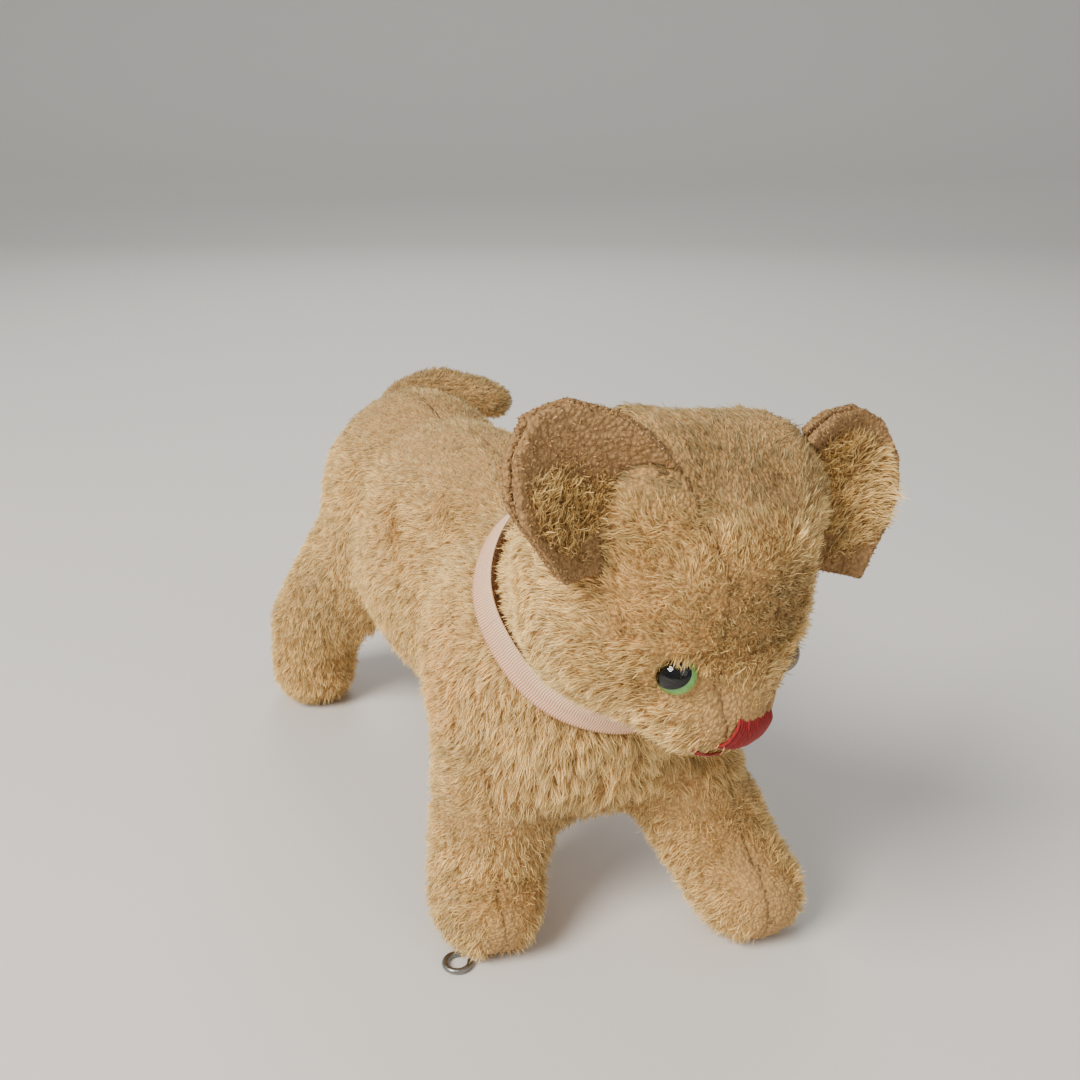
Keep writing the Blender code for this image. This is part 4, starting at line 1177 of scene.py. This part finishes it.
def make_stitches(face):
    """A nose of satin stitches laid side by side, and a mouth of two long stitches."""
    rng = np.random.default_rng(7)
    routes = []
    for index in range(NOSE_STITCHES):
        t = index / (NOSE_STITCHES - 1)
        top = (-0.0040 + 0.0086 * t, NOSE_TOP - 0.0009 * t + rng.uniform(-0.0003, 0.0002))
        low = (-0.0056 + 0.0096 * t, NOSE_BOTTOM + 0.0012 * (1.0 - t) ** 4)
        low = (low[0], low[1] + rng.uniform(-0.0002, 0.0003))
        route = []
        for step in range(7):
            u = step / 6.0
            stand = 0.00022 + 0.0002 * math.sin(math.pi * u) if 0 < step < 6 else -0.0004
            x = top[0] + (low[0] - top[0]) * u
            z = top[1] + (low[1] - top[1]) * u
            route.append(on_face(face, x, z, stand))
        routes.append(route)
    for index in range(OVER_STITCHES):
        t = (index + 0.5) / OVER_STITCHES
        x = -0.0040 + 0.0078 * t
        top = NOSE_TOP - 0.0012 - 0.0010 * t
        low = NOSE_BOTTOM + rng.uniform(0.0008, 0.0026)
        slant = rng.uniform(-0.0009, 0.0003)
        route = []
        for u in (0.0, 0.25, 0.5, 0.75, 1.0):
            stand = 0.00045 if 0.1 < u < 0.9 else 0.0
            route.append(on_face(face, x + slant * u, top + (low - top) * u, stand))
        routes.append(route)
    nose = thread_mesh("nose_stitches", routes, NOSE_THREAD)
    dress(nose, "head", "red_thread", RED_THREAD, "nose_stitching")

    routes = []
    for strand in (-1.0, 1.0):
        for side in (-1.0, 1.0):
            route = []
            for step in range(MOUTH_STEPS + 1):
                t = step / MOUTH_STEPS
                x = side * MOUTH_HALF_WIDTH * t
                z = NOSE_BOTTOM - 0.0016 + 0.0020 * t * t + strand * 0.00022
                stand = 0.0005 if step < MOUTH_STEPS else -0.0003
                route.append(on_face(face, x, z, stand))
            routes.append(route)
    mouth = thread_mesh("mouth_stitches", routes, MOUTH_THREAD)
    dress(mouth, "head", "red_thread", RED_THREAD, "mouth_stitching")


RIBBON_COLUMNS = 12
RIBBON_STEPS = 900
RIBBON_THICKNESS = 0.00022


def make_ribbon():
    """A narrow ribbon, ribbed across, its edges a little proud, in a gentle wave."""
    ring = np.array([vert.co for vert in NODES["neck_ribbon"].data.vertices])
    offset = ring - np.array(NECK_AT)
    height = offset @ AXIS
    reach = np.linalg.norm(offset - np.outer(height, AXIS), axis=1)
    inner, outer = reach.min(), reach.max()
    low, high = height.min() - 0.0004, height.max() + 0.0002
    bm = bmesh.new()
    verts = []
    for index in range(RIBBON_COLUMNS + 1):
        t = index / RIBBON_COLUMNS
        verts.append(bm.verts.new((0.5 * (inner + outer), 0.0, low + (high - low) * t)))
    edges = [bm.edges.new((verts[i], verts[i + 1])) for i in range(RIBBON_COLUMNS)]
    bmesh.ops.spin(
        bm,
        geom=verts + edges,
        cent=(0.0, 0.0, 0.0),
        axis=(0.0, 0.0, 1.0),
        angle=2.0 * math.pi,
        steps=RIBBON_STEPS,
        use_merge=True,
    )
    bmesh.ops.remove_doubles(bm, verts=bm.verts, dist=FINE_WELD)
    bmesh.ops.recalc_face_normals(bm, faces=bm.faces)
    run = bm.verts.layers.float.new("run")
    across = bm.verts.layers.float.new("across")
    for vert in bm.verts:
        turn = math.atan2(vert.co.y, vert.co.x)
        t = (vert.co.z - low) / (high - low)
        vert[run] = turn / (2.0 * math.pi) * RIBS
        vert[across] = t
        rib = 0.00005 * math.sin(turn * RIBS + RIB_SWAY * math.sin(t * RIB_WAVES))
        wave = 0.00025 * math.sin(3.0 * turn + 0.8) + 0.00012 * math.sin(7.0 * turn)
        flare = 0.0013 * (0.5 - t)
        edge = 0.00008 if t < 0.04 or t > 0.96 else 0.0
        radius = math.hypot(vert.co.x, vert.co.y) + rib + wave + flare + edge
        vert.co.x = radius * math.cos(turn)
        vert.co.y = radius * math.sin(turn)
        vert.co.z += 0.0003 * math.sin(2.0 * turn + 1.0)
    place = Matrix.Translation(NECK_AT) @ NECK_AXIS.to_track_quat("Z", "Y").to_matrix().to_4x4()
    bmesh.ops.transform(bm, matrix=place, verts=bm.verts)
    ribbon = finished("ribbon", bm)
    wall = ribbon.modifiers.new("cloth", "SOLIDIFY")
    wall.thickness = RIBBON_THICKNESS
    wall.offset = 0.0
    dress(ribbon, "body", "ribbon", ribbon_material(), "neck_ribbon")


def make_wire():
    """The loose wire end under the paw, drawn smooth and round."""
    wire = finished("leg_wire", copy_of(["front_leg_wire"]))
    rounded = wire.modifiers.new("round", "SUBSURF")
    rounded.levels = 2
    rounded.render_levels = 2
    dress(wire, "body", "steel", STEEL, "front_leg_wire")


def paint_hidden():
    """Finishes for the pieces inside."""
    board = board_material()
    slots = {part["node"]: part["material_slot"] for part in frame["record"]["subparts"]}
    for name, node in NODES.items():
        if node.hide_render:
            continue
        node.data.materials.clear()
        node.data.materials.append(board if slots[name] == "hardboard" else STEEL)


PILE = pile_material("mohair_pile")
EAR_PILE = pile_material("ear_pile", EAR_STAIN, 0.95)
BACKING_CLOTH = cloth_material("woven_backing", BACKING, 1500.0, 0.00035, 0.65)
EAR_CLOTH = cloth_material("ear_backing", EAR_BROWN, 1300.0, 0.00045, 0.7)
WOOD_WOOL = wood_wool_material()
STEEL = steel_material()
GLASS = glass_material()
IRIS = iris_material()
PUPIL = pupil_material()
RED_THREAD = thread_material("red_thread", THREAD_RED, THREAD_SHADOW, 3.0)

set_camera()
set_stage()
make_body()
make_tail()
FACE = make_head()
make_ears()
make_eyes()
make_stitches(FACE)
make_ribbon()
make_wire()
paint_hidden()
